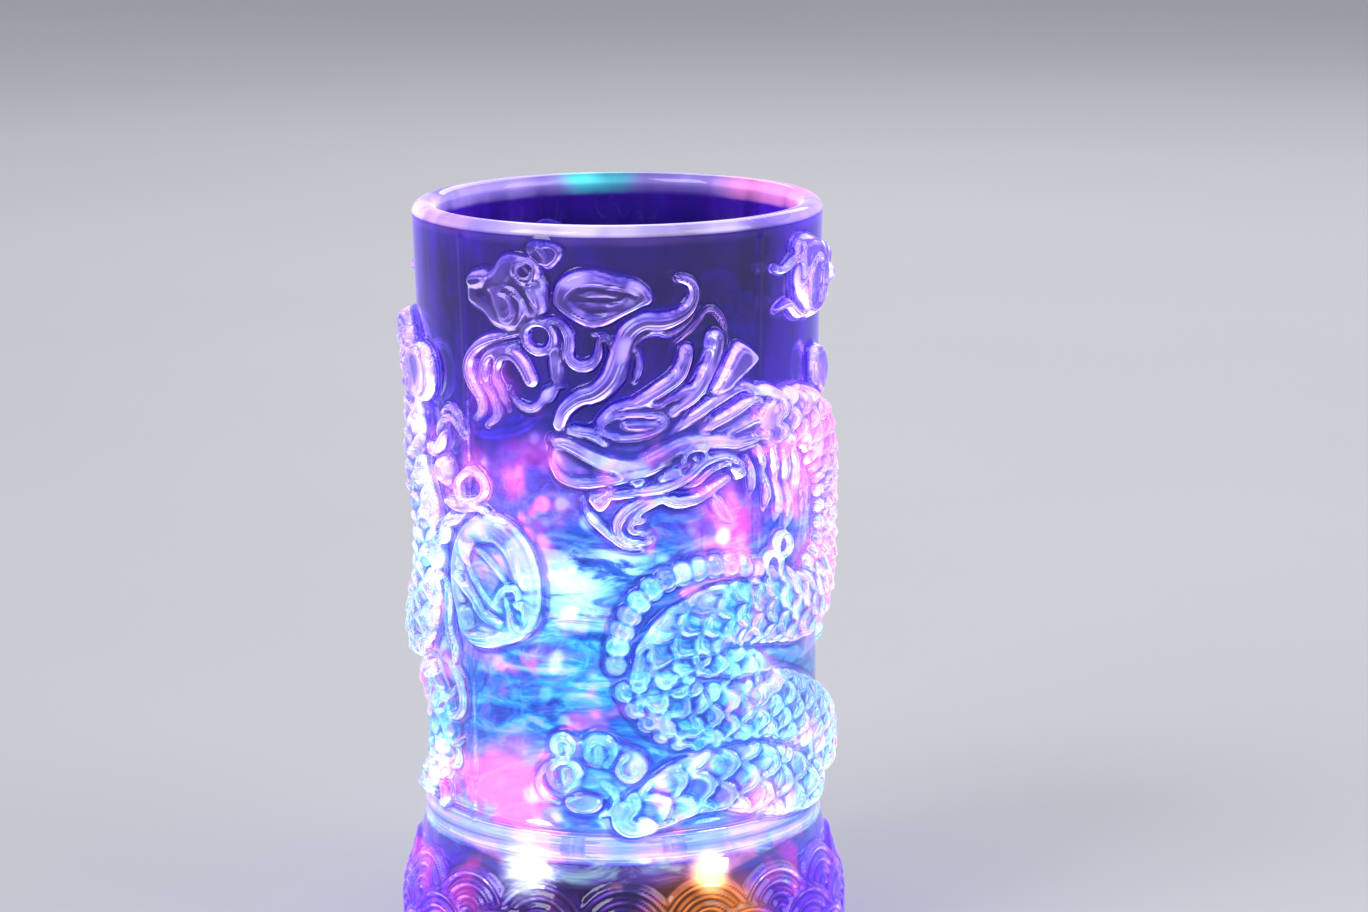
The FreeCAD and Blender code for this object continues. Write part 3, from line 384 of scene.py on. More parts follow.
def head(relief):
    """Head seen from its side, looking left: snout, brow, eye, open jaw and teeth."""
    pad(relief, [(-12.5, 101), (-12, 104.5), (-9.5, 107), (-5, 108.5), (-3, 111), (1, 113), (6, 113),
                 (10, 111.5), (16, 110), (24, 110), (28, 108), (28, 103), (22, 101.5), (16, 102),
                 (10, 99.5), (4, 97.5), (-1, 97), (-7, 96.7), (-11, 97.8)], 1.8, 2.6)
    stroke(relief, [(-12, 105.4), (-9, 105), (-5, 103), (-1, 101.3), (3, 101), (7, 102.8),
                    (11, 104.7), (16, 105), (21, 104.2), (27, 104.8)], 3.3, 1.7, (0.5, 0.4), add=True)
    stroke(relief, [(-12.2, 101.5), (-10.3, 98.9), (-7, 97.8), (-3, 98.2), (1, 99), (5, 100),
                    (9, 101.6)], 1.9, 1.2, (0.5, 0.4), add=True)
    stroke(relief, [(-11, 107), (-8.5, 107.6), (-5, 107), (-2.5, 105.2)], 2.0, 1.3, add=True)
    stroke(relief, [(-3.2, 108.3), (-1, 110), (3, 110.5), (7, 109.8), (7.4, 108.2), (4.5, 106.8),
                    (0.5, 106.4), (-2.2, 107)], 1.0, 1.1, closed=True, add=True)
    pad(relief, [(0.6, 109.4), (6.3, 109.4), (6.8, 108.2), (4, 107.4), (1, 107.6)], 1.1, 0.9, add=True)
    stroke(relief, [(-3.6, 109.2), (-0.8, 111.6), (3, 112.5), (6.5, 112)], 1.5, 1.2, add=True)
    stroke(relief, ring_points(13, 102, 2.1), 1.1, 1.4, closed=True, add=True)
    boss(relief, 13, 102, 0.9, 2.6)
    strokes(relief, [
        ([(-4, 95.5), (0, 95.9), (4, 96.5), (8, 97.1), (12, 99), (15, 101.3), (19, 101.8),
          (23, 99.6)], 2.6, 2.8, (0.6, 0.5)),
        ([(11, 96.6), (13.6, 97.4), (16.4, 99.4), (19, 100.2), (21, 99.4)], 1.6, 2.0, (0.4, 0.4)),
        ([(20, 97.4), (17, 96), (14, 94.4), (10, 94), (7, 95), (3.5, 94.4), (0.5, 92), (-0.5, 89.5),
          (1, 87.5), (4, 86.8), (5.6, 87.3)], 2.2, 2.4, (0.6, 0.4)),
        ([(-6.5, 95), (-5.6, 92), (-3.8, 90), (-1.5, 88), (1, 86.2), (4, 85.6)], 1.4, 1.7, (0.5, 0.4)),
        ([(9.5, 95.3), (5, 93.6), (2.4, 91.6), (1.7, 89.4), (3.5, 88.6), (5.2, 88.2)], 1.3, 2.6,
         (0.5, 0.4)),
        ([(0, 98.6), (-3.5, 95.6), (-5.6, 96.4)], 1.6, 1.8, (0.6, 0.4)),
    ])
    for tooth in ([(20.4, 99.4), (23.6, 98.8), (22, 97)], [(-5.6, 95.4), (-3.6, 92.6), (-1.6, 95)],
                  [(1, 98), (3, 99.4), (5, 98.4), (3, 97)],
                  [(6, 98), (8, 100.8), (10.8, 100.8), (10.4, 98.4)],
                  [(1.6, 91), (3, 91.9), (4.7, 91), (3, 90.1)]):
        pad(relief, tooth, 2.7, 0.9)


def serpent_body(relief):
    """Scaled body from the neck round the cup to its flamed tail, with its legs and spines."""
    scaled_limb(relief, [(30, 107), (38, 106.4), (46, 102.6), (53, 96), (56.5, 88), (54.5, 79.5),
                         (48, 73), (40, 70.6), (30, 72), (20, 72.2), (12.2, 69.4), (7.8, 64),
                         (8.2, 58.6), (13, 54.8), (21, 54.6), (30, 54), (40, 50), (50, 45), (58, 41),
                         (68, 38.5), (80, 42), (92, 52), (102, 64), (112, 74), (124, 79), (136, 82),
                         (148, 82), (158, 76), (168, 68), (178, 64), (185, 68), (188.5, 78),
                         (188, 88), (183.5, 97), (184.5, 106), (183, 114), (177, 120), (170, 121),
                         (164, 117)],
                [11, 13, 13, 13.5, 13.5, 13, 13, 14, 15, 14, 13, 12, 11.5, 11, 11, 12, 12.5, 12, 10, 7, 4],
                3.0, (3.2, 4.7))
    for flame in ([(166, 119), (161, 115), (157, 114), (152, 117)],
                  [(165, 118), (160, 111), (155, 109), (150, 110)],
                  [(166, 117), (163, 109), (159, 104), (154, 103)],
                  [(168, 118), (168, 110), (165, 103), (161, 98)]):
        stroke(relief, flame, 3.4, 2.6, (0.9, 0.15))
    scaled_limb(relief, [(14, 63.6), (20, 63.8), (25, 61.6), (29, 57.6)], [5, 7, 7, 5], 2.6, (3.0, 4.0))
    scaled_limb(relief, [(188, 58), (193, 50), (192, 42), (187, 36)], [6, 8, 8, 5], 2.6, (3.4, 3.4))
    beads(relief, [(-0.9, 63), (-0.5, 68), (1.5, 73.6), (5.2, 78), (10.4, 80.6), (16, 81.4), (22, 80.8),
                   (27.5, 79), (32, 77.2)], 2.5, 2.3, 3.1)
    beads(relief, [(0.4, 61), (2.0, 57.4), (4.8, 53.8), (9, 50.8), (14, 49.2), (19, 48.8)], 2.5, 2.2, 3.4)
    beads(relief, [(41, 77.6), (47, 80), (49, 86), (47.5, 93), (42, 98.6)], 1.9, 2.3, 3.2)
    scaled_limb(relief, [(1.8, 36.2), (5, 37.8), (9, 39.8), (14, 41.6), (20, 42), (27, 40.6),
                         (34, 38.4), (44, 36.4)], [8.5, 10.5, 12.5, 14, 14, 13, 11], 2.5, (4.4, 6.2), 1.4)


def claws(relief):
    """Front paw: a palm under four round toes, a heel and two hooked nails."""
    pad(relief, [(-13, 48), (-11.5, 51.5), (-7.5, 50.6), (-4.5, 52), (-0.5, 50), (3.5, 48), (4.5, 44.5),
                 (2, 41.5), (-1.5, 39.5), (-6, 38.5), (-10.5, 40), (-13.5, 43.5)], 1.2, 1.2)
    for s, z, radius, opening in ((-10.8, 49, 2.9, 200), (-10.6, 43.8, 4.2, 320), (-4.2, 48.4, 3.9, 250),
                                  (1.5, 45.2, 3.4, 60)):
        toe(relief, s, z, radius, opening)
    pad(relief, ring_points(-7, 38.6, 3.6, 10, 0.62), 2.3, 1.6)
    stroke(relief, [(-13.8, 45.4), (-15.4, 42.4), (-14.4, 39.6), (-11.6, 38.4)], 1.7, 2.0, (0.7, 0.3))
    stroke(relief, [(-3.6, 42.6), (-1.2, 40.4), (-1.6, 37.6), (-4, 36)], 1.9, 2.0, (0.7, 0.3))


def pearl(relief):
    """Pearl with the flame in it, and the wisps and curls at its left."""
    pad(relief, [(-35, 79), (-34, 84), (-31, 88.5), (-27, 90.5), (-22, 90.6), (-18, 88), (-15.5, 84),
                 (-14.3, 79), (-14.5, 74), (-15.8, 70.4), (-18.6, 68), (-22.6, 66.4), (-26.6, 65.4),
                 (-30, 65.8), (-32.4, 69), (-34.4, 74)], 2.8, 2.6, dish=0.9)
    strokes(relief, [
        ([(-31.5, 78.5), (-30, 77), (-27.5, 74.5), (-25.5, 72), (-22, 71)], 2.2, 1.1),
        ([(-23, 75), (-21, 77.4), (-18.6, 77.8), (-18.3, 76)], 1.4, 1.0),
        ([(-21, 76), (-20, 73), (-19, 70)], 1.2, 0.9),
        ([(-19.5, 75), (-17, 74.8), (-16.4, 72.5), (-17.5, 70.4), (-19.3, 71)], 1.2, 0.9),
        ([(-28.5, 84.5), (-25, 83), (-21, 79), (-19.5, 75.4)], 1.0, 0.5),
        ([(-19.8, 86), (-17.8, 82.6), (-17, 78.6)], 1.0, 0.8),
        ([(-31.4, 86), (-29, 80), (-25, 75), (-20.6, 72.6)], 0.9, 0.5),
        ([(-32, 70.4), (-29.6, 68.2), (-26, 68), (-21.6, 69)], 1.0, 0.9),
    ], add=True)
    pad(relief, [(-31.5, 72), (-28, 73.5), (-27.3, 70), (-30, 68.7)], 0.7, 1.0, add=True)
    stroke(relief, [(-33, 95.5), (-30, 98), (-27, 97.3), (-26, 95), (-28, 92.8), (-32, 92.4)], 1.5, 2.0,
           closed=True)
    boss(relief, -37.4, 97, 3.2, 2.5)
    strokes(relief, [
        ([(-37, 91.4), (-32, 91), (-28, 91.6), (-25.2, 90.8)], 2.3, 2.4),
        ([(-38, 87), (-34, 88.4), (-30, 90)], 2.4, 2.4),
        ([(-40, 83), (-37, 85), (-35.6, 89)], 2.6, 2.6),
        ([(-40, 103), (-37, 106.4), (-34, 107), (-31.5, 104)], 1.5, 1.8),
        ([(-39.4, 105.6), (-36, 108.8), (-33, 108), (-30.8, 105)], 1.2, 1.5),
        ([(-43, 101), (-40, 100), (-38, 101.6), (-37, 104)], 2.4, 2.4),
        ([(-38.5, 78), (-37, 73.4), (-37.2, 68), (-35.4, 63.6), (-36.4, 60)], 1.7, 1.8),
        ([(-40, 61), (-36.6, 60.4), (-33.6, 57.6), (-33, 53.4), (-35.4, 51), (-37.8, 52.6),
          (-36.6, 55.6)], 1.8, 1.8),
        ([(-42, 56), (-39.4, 53), (-38.6, 48.4), (-36, 45.6), (-33.4, 47)], 1.9, 1.9),
        ([(-41.6, 49), (-40.4, 44), (-38, 41.4), (-35.2, 42), (-35, 45)], 1.9, 1.9),
        ([(-43, 42), (-40, 38.6), (-38.8, 35.2), (-41, 32.8)], 2.2, 2.2),
    ])
    pad(relief, [(-40.4, 110.5), (-39.4, 115), (-41.5, 119), (-46, 119.6), (-51, 117.6), (-52.6, 113),
                 (-50, 109), (-45, 108)], 3.4, 3.0)


def waves(relief):
    """Five rows of overlapping wave fans round the skirt, each of about four concentric arcs."""
    across = AROUND / 16
    fan = 9.0
    arc_step = 2.1
    row_step = 5.6
    s, z = np.meshgrid(relief.arcs, relief.levels)
    shape = np.zeros(s.shape)
    for row in range(4, -1, -1):
        centre_z = row_step * row - 7.4
        shift = across / 2 * (row % 2)
        off_s = (s - shift + across / 2) % across - across / 2
        reach = np.hypot(off_s, z - centre_z)
        arcs = 0.5 + 0.5 * np.cos((reach - fan + 0.9) * 2 * math.pi / arc_step)
        lines = 0.75 * arcs ** 1.5 + 0.35 * reach / fan
        shape = np.where((reach < fan) & (z > centre_z - 3.5), lines, shape)
    top_fade = np.clip((25.5 - z) / 1.5, 0, 1)
    foot_fade = np.clip((z - 2.2) / 1.5, 0, 1)
    relief.height += shape * top_fade * foot_fade * 0.95


def mould_lines(relief):
    """Four parting lines up the wall and the step where the wall meets the skirt."""
    s, z = np.meshgrid(relief.arcs, relief.levels)
    quarter = AROUND / 4
    off = (s + 31 + quarter / 2) % quarter - quarter / 2
    line = 0.32 * np.exp(-(off / 0.42) ** 2) * np.clip((z - 31) / 2, 0, 1)
    relief.raise_to(np.ix_(range(len(relief.levels)), range(ARC_COUNT)), line, 0.1)
    relief.height += 0.35 * np.exp(-((z - 30.4) / 0.9) ** 2)


def soften(field, passes):
    """Blend each height with its neighbours, to round the edges as a mould does."""
    for _ in range(passes):
        field = 0.5 * field + 0.25 * (np.roll(field, 1, 1) + np.roll(field, -1, 1))
        up = np.vstack([field[1:], field[-1:]])
        down = np.vstack([field[:1], field[:-1]])
        field = 0.5 * field + 0.25 * (up + down)
    return field


def make_relief():
    """All the features; a later one lies over the earlier ones."""
    relief = Relief()
    clouds(relief)
    pearl(relief)
    serpent_body(relief)
    claws(relief)
    head(relief)
    mane(relief)
    waves(relief)
    mould_lines(relief)
    return relief


# ---- the cup's mesh ----------------------------------------------------------------------

# outer skin of the plain moulding: level and radius in mm
SKIN = [(0, 39.5), (0.8, 39.6), (3.2, 41.1), (8, 41.7), (14, 41.1), (20, 39.4), (26, 37.8),
        (30.5, 37.1), (42, 36.75), (58, 36.7), (80, 36.8), (100, 37.0), (120, 37.3), (132, 37.7),
        (141.8, 38.0)]


def skin_radius(levels):
    """Smooth radius of the plain wall at each level."""
    path = smooth_path([(radius, level) for level, radius in SKIN], steps=12)
    return np.interp(levels, path[:, 1], path[:, 0])


def inner_rings():
    """(radius, level) of the rings over the lip, down the bowl and in along its floor."""
    over_lip = [(LIP_MIDDLE + LIP_RADIUS * math.cos(turn), LIP_LEVEL + LIP_RADIUS * math.sin(turn))
                for turn in np.linspace(0, math.pi, LIP_RINGS + 1)[1:]]
    corner_level = FLOOR_TOP + CORNER_RADIUS
    wall = [(BOWL_RADIUS - BOWL_DRAFT * share, LIP_LEVEL - share * (LIP_LEVEL - corner_level))
            for share in np.linspace(0, 1, 30)[1:]]
    corner_middle = BOWL_RADIUS - BOWL_DRAFT - CORNER_RADIUS
    corner = [(corner_middle + CORNER_RADIUS * math.cos(turn), corner_level - CORNER_RADIUS * math.sin(turn))
              for turn in np.linspace(0, math.pi / 2, 8)[1:]]
    floor = [(radius, FLOOR_TOP) for radius in (24, 18, 12, 6, 1)]
    return over_lip + wall + corner + floor


def hollow_rings():
    """(radius, level) of the rings out under the bowl's floor and down the skirt's hollow."""
    ceiling = [(radius, FLOOR_UNDER) for radius in (1, 8, 16, 24, 31.2, 32.1)]
    return ceiling + [(33.1, 25.9), (33.7, 24.8), (35.0, 19.0), (36.2, 14.0), (36.75, 12.0), (36.8, 8.0),
                      (36.8, 4.0), (36.8, 0.9), (37.1, 0.8), (38.4, 0.8), (39.2, 0.8)]


def ring(radius, level, angles):
    """Points of one ring; the radius is one number, or one for each angle."""
    return np.stack([radius * np.sin(angles), -radius * np.cos(angles), np.full(ARC_COUNT, level)], 1)


def ring_faces(count, floor_ring):
    """Quads between neighbouring rings, and two flat faces where the bowl's floor ends."""
    index = np.arange(ARC_COUNT)
    following = (index + 1) % ARC_COUNT
    faces = []
    for row in range(count):
        here = row * ARC_COUNT
        above = (row + 1) % count * ARC_COUNT
        if row == floor_ring:
            faces += [(here + index).tolist(), (above + index[::-1]).tolist()]
        else:
            faces += np.stack([here + index, here + following, above + following, above + index], 1).tolist()
    return faces


def store(mesh, name, start, values):
    """Keep values for the mesh's points from start on, and 0 for the others."""
    field = np.zeros(len(mesh.vertices), np.float32)
    field[start:start + len(values)] = values
    mesh.attributes.new(name, "FLOAT", "POINT").data.foreach_set("value", field)


def make_cup():
    """One closed skin: skirt and wall with their relief, lip, bowl, floor and skirt hollow."""
    relief = make_relief()
    levels = relief.levels
    fade = np.clip((LIP_LEVEL - levels) / 1.5, 0, 1) * np.clip((levels - 0.8) / 1.5, 0, 1)
    height = soften(relief.height, 1) * fade[:, None]
    radius = np.minimum(skin_radius(levels)[:, None] + height, SKIRT_RADIUS + SKIRT_PROUD)
    angles = relief.arcs / WALL_RADIUS
    inner, hollow = inner_rings(), hollow_rings()
    rings = [ring(radius[row], level, angles) for row, level in enumerate(levels)]
    rings += [ring(plain_radius, level, angles) for plain_radius, level in inner + hollow]
    floor_ring = len(levels) + len(inner) - 1
    mesh = bpy.data.meshes.new("clear_cup")
    mesh.from_pydata((np.concatenate(rings) * MM).tolist(), [], ring_faces(len(rings), floor_ring))
    mesh.validate()
    mesh.shade_smooth()
    slope_z, slope_s = np.gradient(height, LEVEL_STEP)
    for name, field in (("edge", np.hypot(slope_z, slope_s)), ("lean", slope_z), ("lift", height),
                        ("crest", height - soften(height, 9))):
        store(mesh, name, 0, field.ravel())
    bowl_start = height.size + (LIP_RINGS + 1) * ARC_COUNT
    store(mesh, "inner", bowl_start, np.ones(len(mesh.vertices) - bowl_start))
    store(mesh, "lip", height.size, np.repeat(np.linspace(0.08, 1, LIP_RINGS + 2), ARC_COUNT))
    cup = bpy.data.objects.new("clear_cup", mesh)
    bpy.context.scene.collection.objects.link(cup)
    return cup


# ---- materials ---------------------------------------------------------------------------

class Nodes:
    """Short way to build a node tree round one Principled shader."""

    def __init__(self, name):
        self.material = bpy.data.materials.new(name)
        self.material.use_nodes = True
        self.tree = self.material.node_tree
        self.shader = self.tree.nodes["Principled BSDF"]
        self.place = self.tree.nodes.new("ShaderNodeTexCoord").outputs["Object"]

    def put(self, socket, value):
        """Link a socket to another one, or set its value."""
        if isinstance(value, bpy.types.NodeSocket):
            self.tree.links.new(value, socket)
        else:
            socket.default_value = value

    def make(self, kind, inputs=(), **settings):
        node = self.tree.nodes.new(kind)
        for name, value in settings.items():
            setattr(node, name, value)
        for key, value in dict(inputs).items():
            self.put(node.inputs[key], value)
        return node

    def set(self, name, value):
        self.put(self.shader.inputs[name], value)

    def maths(self, operation, first, second=0.0, clamp=False):
        node = self.make("ShaderNodeMath", {0: first, 1: second}, operation=operation, use_clamp=clamp)
        return node.outputs[0]

    def times(self, first, second):
        return self.maths("MULTIPLY", first, second)

    def plus(self, first, second):
        return self.maths("ADD", first, second)

    def larger(self, first, second):
        return self.maths("MAXIMUM", first, second)

    def noise(self, scale, detail=3.0, roughness=0.5):
        node = self.make("ShaderNodeTexNoise",
                         {"Vector": self.place, "Scale": scale, "Detail": detail, "Roughness": roughness})
        return node.outputs["Fac"]

    def ramp(self, value, stops):
        node = self.make("ShaderNodeValToRGB", {"Fac": value})
        elements = node.color_ramp.elements
        while len(elements) < len(stops):
            elements.new(0.5)
        for element, (position, colour) in zip(elements, stops):
            element.position = position
            element.color = (*colour, 1.0)
        return node.outputs["Color"]

    def value_ramp(self, value, stops):
        return self.ramp(value, [(position, (grey, grey, grey)) for position, grey in stops])

    def between(self, value, low, high, to_low=0.0, to_high=1.0):
        node = self.make("ShaderNodeMapRange", {"Value": value, "From Min": low, "From Max": high,
                                                "To Min": to_low, "To Max": to_high},
                         interpolation_type="SMOOTHSTEP")
        return node.outputs["Result"]

    def mix(self, share, first, second):
        node = self.make("ShaderNodeMix", data_type="RGBA")
        self.put(node.inputs[0], share)
        for key, colour in ((6, first), (7, second)):
            self.put(node.inputs[key], (*colour, 1.0) if isinstance(colour, tuple) else colour)
        return node.outputs[2]

    def bump(self, height, strength, distance):
        node = self.make("ShaderNodeBump", {"Height": height, "Strength": strength, "Distance": distance})
        self.set("Normal", node.outputs["Normal"])

    def blob(self, centre, radius):
        """One near a point, nothing further than the radius."""
        away = self.make("ShaderNodeVectorMath", {0: self.place, 1: [value * MM for value in centre]},
                         operation="DISTANCE").outputs["Value"]
        return self.between(away, 0.0, radius * MM, 1.0, 0.0)


def on_wall(s, z, radius=WALL_RADIUS):
    """Point on the wall in mm for an arc and a level."""
    return (radius * math.sin(s / WALL_RADIUS), -radius * math.cos(s / WALL_RADIUS), z)


def on_bowl(s, z):
    return on_wall(s, z, BOWL_MEAN)


def streaks(nodes):
    """Noise drawn out along the cup's height."""
    tall = nodes.make("ShaderNodeMapping", {"Vector": nodes.place, "Scale": (1.0, 1.0, 0.22)})
    return nodes.make("ShaderNodeTexNoise", {"Vector": tall.outputs["Vector"], "Scale": 110.0,
                                             "Detail": 3.0, "Distortion": 0.4}).outputs["Fac"]


def ripples(nodes):
    """Noise drawn out round the cup."""
    flat = nodes.make("ShaderNodeMapping", {"Vector": nodes.place, "Scale": (1.0, 1.0, 3.0)})
    return nodes.make("ShaderNodeTexNoise", {"Vector": flat.outputs["Vector"], "Scale": 85.0,
                                             "Detail": 4.0, "Roughness": 0.6,
                                             "Distortion": 1.0}).outputs["Fac"]


def pink_places(nodes, level):
    """Pink light gathers at a few places on the wall, broken up into patches."""
    pink = nodes.times(nodes.between(nodes.noise(120.0, 2.0), 0.54, 0.66),
                       nodes.between(level, 0.116, 0.098, 0.0, 0.7))
    for s, z, radius, amount in ((-24, 37, 19, 1.6), (-34, 98, 14, 0.8), (-16, 97, 12, 1.6),
                                 (50, 72, 17, 1.4), (50, 98, 18, 1.0), (20, 88, 11, 1.6),
                                 (30, 61, 7, 1.0), (-46, 56, 15, 0.9), (-14, 66, 7, 1.0),
                                 (-8, 29, 8, 0.9), (6, 27, 7, 0.8), (-26, 114, 10, 0.5),
                                 (26, 34, 12, 0.8), (-37, 35, 15, 1.5), (-30, 22, 11, 1.2),
                                 (90, 80, 26, 1.0), (-80, 70, 26, 1.0)):
        pink = nodes.larger(pink, nodes.times(nodes.blob(on_wall(s, z), radius), amount))
    broken = nodes.between(nodes.noise(85.0, 3.0), 0.40, 0.60, 0.10, 1.0)
    return nodes.maths("MULTIPLY", pink, broken, clamp=True)


def glints(nodes):
    """Where the lamps' light is focused on the bowl, round spots show: their share and colour."""
    cells = nodes.make("ShaderNodeTexVoronoi", {"Vector": nodes.place, "Scale": 190.0})
    spots = nodes.between(cells.outputs["Distance"], 0.42, 0.16)
    draw = nodes.make("ShaderNodeSeparateColor", {"Color": cells.outputs["Color"]}).outputs
    spots = nodes.times(spots, nodes.between(draw["Red"], 0.30, 0.45))
    zone = 0.0
    for s, z, radius in ((-14, 92, 13), (20, 87, 13), (-10, 36, 17), (10, 32, 14), (-22, 62, 12),
                         (100, 70, 24), (-90, 84, 24), (-110, 44, 18)):
        zone = nodes.larger(zone, nodes.blob(on_bowl(s, z), radius))
    spots = nodes.times(spots, nodes.between(zone, 0.0, 0.5))
    colour = nodes.mix(nodes.between(draw["Green"], 0.50, 0.56), (1.0, 0.30, 0.68), (0.62, 1.0, 0.98))
    return spots, colour


def cup_fields(nodes):
    """What the cup's material is worked out from: the place on the cup, its relief, its patterns."""
    spot = nodes.make("ShaderNodeSeparateXYZ", {"Vector": nodes.place}).outputs
    cup = SimpleNamespace(level=spot["Z"], sideways=nodes.maths("ABSOLUTE", spot["X"]))
    for name in ("lift", "edge", "lean", "crest", "inner", "lip"):
        setattr(cup, name, nodes.make("ShaderNodeAttribute", attribute_name=name).outputs["Fac"])
    wander = nodes.times(nodes.maths("SUBTRACT", nodes.noise(28.0), 0.5), 0.12)
    cup.share = nodes.plus(nodes.maths("DIVIDE", cup.level, CUP_TOP * MM), wander)
    cup.raised = nodes.between(cup.lift, 0.3, 1.6)
    cup.pink = pink_places(nodes, cup.level)
    cup.ripple = ripples(nodes)
    dimmer = nodes.larger(nodes.blob(on_wall(-46, 56), 34), nodes.blob(on_wall(54, 60), 34))
    cup.calm = nodes.between(dimmer, 0.0, 0.7, 1.0, 0.5)
    cup.amber = nodes.between(nodes.blob((15, -38, 13), 21), 0.10, 0.60)
    return cup


def painted_light_tint(nodes, cup):
    """What the plastic lets through, with the lamps' light painted in: cyan blue low, indigo high, paler
    where it is raised, painted shade in the creases and high in the bowl, painted pink and amber lamp light.
    """
    painted_colour = nodes.ramp(cup.share, [
        (0.00, (0.10, 0.02, 0.46)), (0.13, (0.12, 0.03, 0.52)), (0.20, (0.09, 0.20, 0.55)),
        (0.50, (0.08, 0.20, 0.54)), (0.66, (0.05, 0.05, 0.42)), (0.80, (0.02, 0.01, 0.22)),
        (1.00, (0.03, 0.01, 0.24))])
    painted_colour = nodes.mix(nodes.times(cup.raised, 0.30), painted_colour, (0.55, 0.55, 1.0))
    # painted shade: the plastic is darker in the relief's creases
    crease_shade = nodes.between(cup.crest, -0.02, -0.14)
    painted_colour = nodes.mix(nodes.times(crease_shade, 0.9), painted_colour, (0.02, 0.01, 0.20))
    # painted shade: the bowl's wall is darker high up inside
    shade_high_inside = nodes.times(cup.inner, nodes.between(cup.level, 0.095, 0.120))
    painted_colour = nodes.mix(shade_high_inside, painted_colour, (0.015, 0.008, 0.14))
    # painted light: pink patches of lamp light and the amber lamp's glow, coloured into the plastic
    painted_colour = nodes.mix(nodes.times(cup.pink, 0.7), painted_colour, (0.85, 0.28, 0.62))
    return nodes.mix(cup.amber, painted_colour, (0.18, 0.035, 0.01))


def bowl_pattern(nodes, cup):
    """Colour and strength of the light that the bowl's wall scatters: streaks high, ripples low."""
    high = nodes.ramp(streaks(nodes), [
        (0.38, (0.01, 0.00, 0.16)), (0.50, (0.06, 0.02, 0.50)), (0.60, (0.20, 0.08, 0.90)),
        (0.68, (0.60, 0.40, 1.00))])
    low = nodes.ramp(cup.ripple, [
        (0.36, (0.00, 0.00, 0.14)), (0.45, (0.00, 0.10, 0.38)), (0.52, (0.00, 0.42, 0.50)),
        (0.59, (0.20, 0.95, 0.88)), (0.66, (1.00, 1.00, 1.00))])
    near_lamps = nodes.between(cup.level, 0.108, 0.074)
    colour = nodes.mix(near_lamps, high, low)
    at_corner = nodes.between(cup.level, 0.035, 0.029)
    colour = nodes.mix(nodes.times(at_corner, 0.75), colour, (0.40, 0.36, 1.00))
    colour = nodes.mix(cup.pink, colour, (1.0, 0.18, 0.62))
    spots, spot_colour = glints(nodes)
    colour = nodes.mix(spots, colour, spot_colour)
    hot = nodes.larger(nodes.blob(on_bowl(-9, 78), 11), nodes.blob(on_bowl(0, 84), 9))
    hot = nodes.times(hot, nodes.between(cup.ripple, 0.40, 0.56))
    colour = nodes.mix(hot, colour, (0.85, 1.0, 1.0))

    strength = nodes.times(near_lamps, nodes.between(at_corner, 0.0, 1.0, 0.75, 0.28))
    strength = nodes.plus(strength, nodes.between(cup.level, 0.132, 0.104, 0.02, 0.50))
    for share, amount in ((hot, 3.0), (spots, 2.4), (cup.pink, 0.9)):
        strength = nodes.plus(strength, nodes.times(share, amount))
    above_floor = nodes.between(cup.level, 0.0255, 0.0262)
    return colour, nodes.times(nodes.times(strength, above_floor), cup.calm)


def facet_light(nodes, cup):
    """Share of light that leaves at the relief: thin lines at its facets, a few patches on its tops."""
    sparkle = nodes.between(nodes.noise(200.0, 2.0), 0.36, 0.58, 0.20, 1.0)
    steep = nodes.between(cup.edge, 0.9, 1.9)
    gentle = nodes.times(nodes.between(cup.edge, 0.25, 0.55), nodes.between(cup.edge, 0.95, 0.65))
    facing_down = nodes.between(cup.lean, -0.2, 0.8, 0.35, 1.0)
    lines = nodes.larger(steep, nodes.times(gentle, 0.65))
    for factor in (facing_down, sparkle, nodes.between(cup.crest, -0.22, -0.05)):
        lines = nodes.times(lines, factor)
    tops = nodes.times(cup.raised, nodes.between(cup.crest, -0.02, 0.12))
    patches = nodes.times(tops, nodes.between(nodes.noise(110.0, 1.0), 0.54, 0.66, 0.0, 0.36))
    return nodes.larger(lines, patches)


def outer_colour(nodes, cup, lines):
    """Colour of the light at the outer skin: wall, raised fill, and paler mottled facet lines."""
    line_glow = nodes.ramp(cup.share, [
        (0.00, (0.30, 0.05, 0.95)), (0.15, (0.36, 0.09, 1.00)), (0.21, (0.65, 0.98, 1.00)),
        (0.50, (0.65, 0.92, 1.00)), (0.62, (0.72, 0.78, 1.00)), (0.80, (0.76, 0.66, 1.00)),
        (1.00, (0.76, 0.62, 1.00))])
    rosy = nodes.between(nodes.noise(95.0, 2.0), 0.47, 0.60, 0.0, 0.75)
    line_glow = nodes.mix(rosy, line_glow, (1.0, 0.50, 0.92))
    cool = nodes.between(nodes.noise(115.0, 2.0), 0.54, 0.62, 0.0, 0.85)
    line_glow = nodes.mix(cool, line_glow, (0.62, 1.0, 0.98))
    fill_glow = nodes.ramp(cup.share, [
        (0.00, (0.10, 0.00, 0.60)), (0.15, (0.12, 0.01, 0.70)), (0.21, (0.26, 0.52, 0.85)),
        (0.50, (0.28, 0.50, 0.90)), (0.62, (0.34, 0.36, 0.95)), (0.80, (0.36, 0.24, 0.95)),
        (1.00, (0.20, 0.08, 0.80))])
    wall_glow = nodes.ramp(cup.share, [
        (0.00, (0.10, 0.00, 0.80)), (0.15, (0.11, 0.01, 0.85)), (0.21, (0.20, 0.30, 0.80)),
        (0.62, (0.10, 0.10, 0.85)), (0.80, (0.06, 0.01, 0.60)), (1.00, (0.09, 0.01, 0.62))])
    glow = nodes.mix(cup.raised, wall_glow, fill_glow)
    glow = nodes.mix(lines, glow, line_glow)
    return nodes.mix(cup.pink, glow, nodes.mix(lines, (0.90, 0.05, 0.50), (1.0, 0.50, 0.86)))


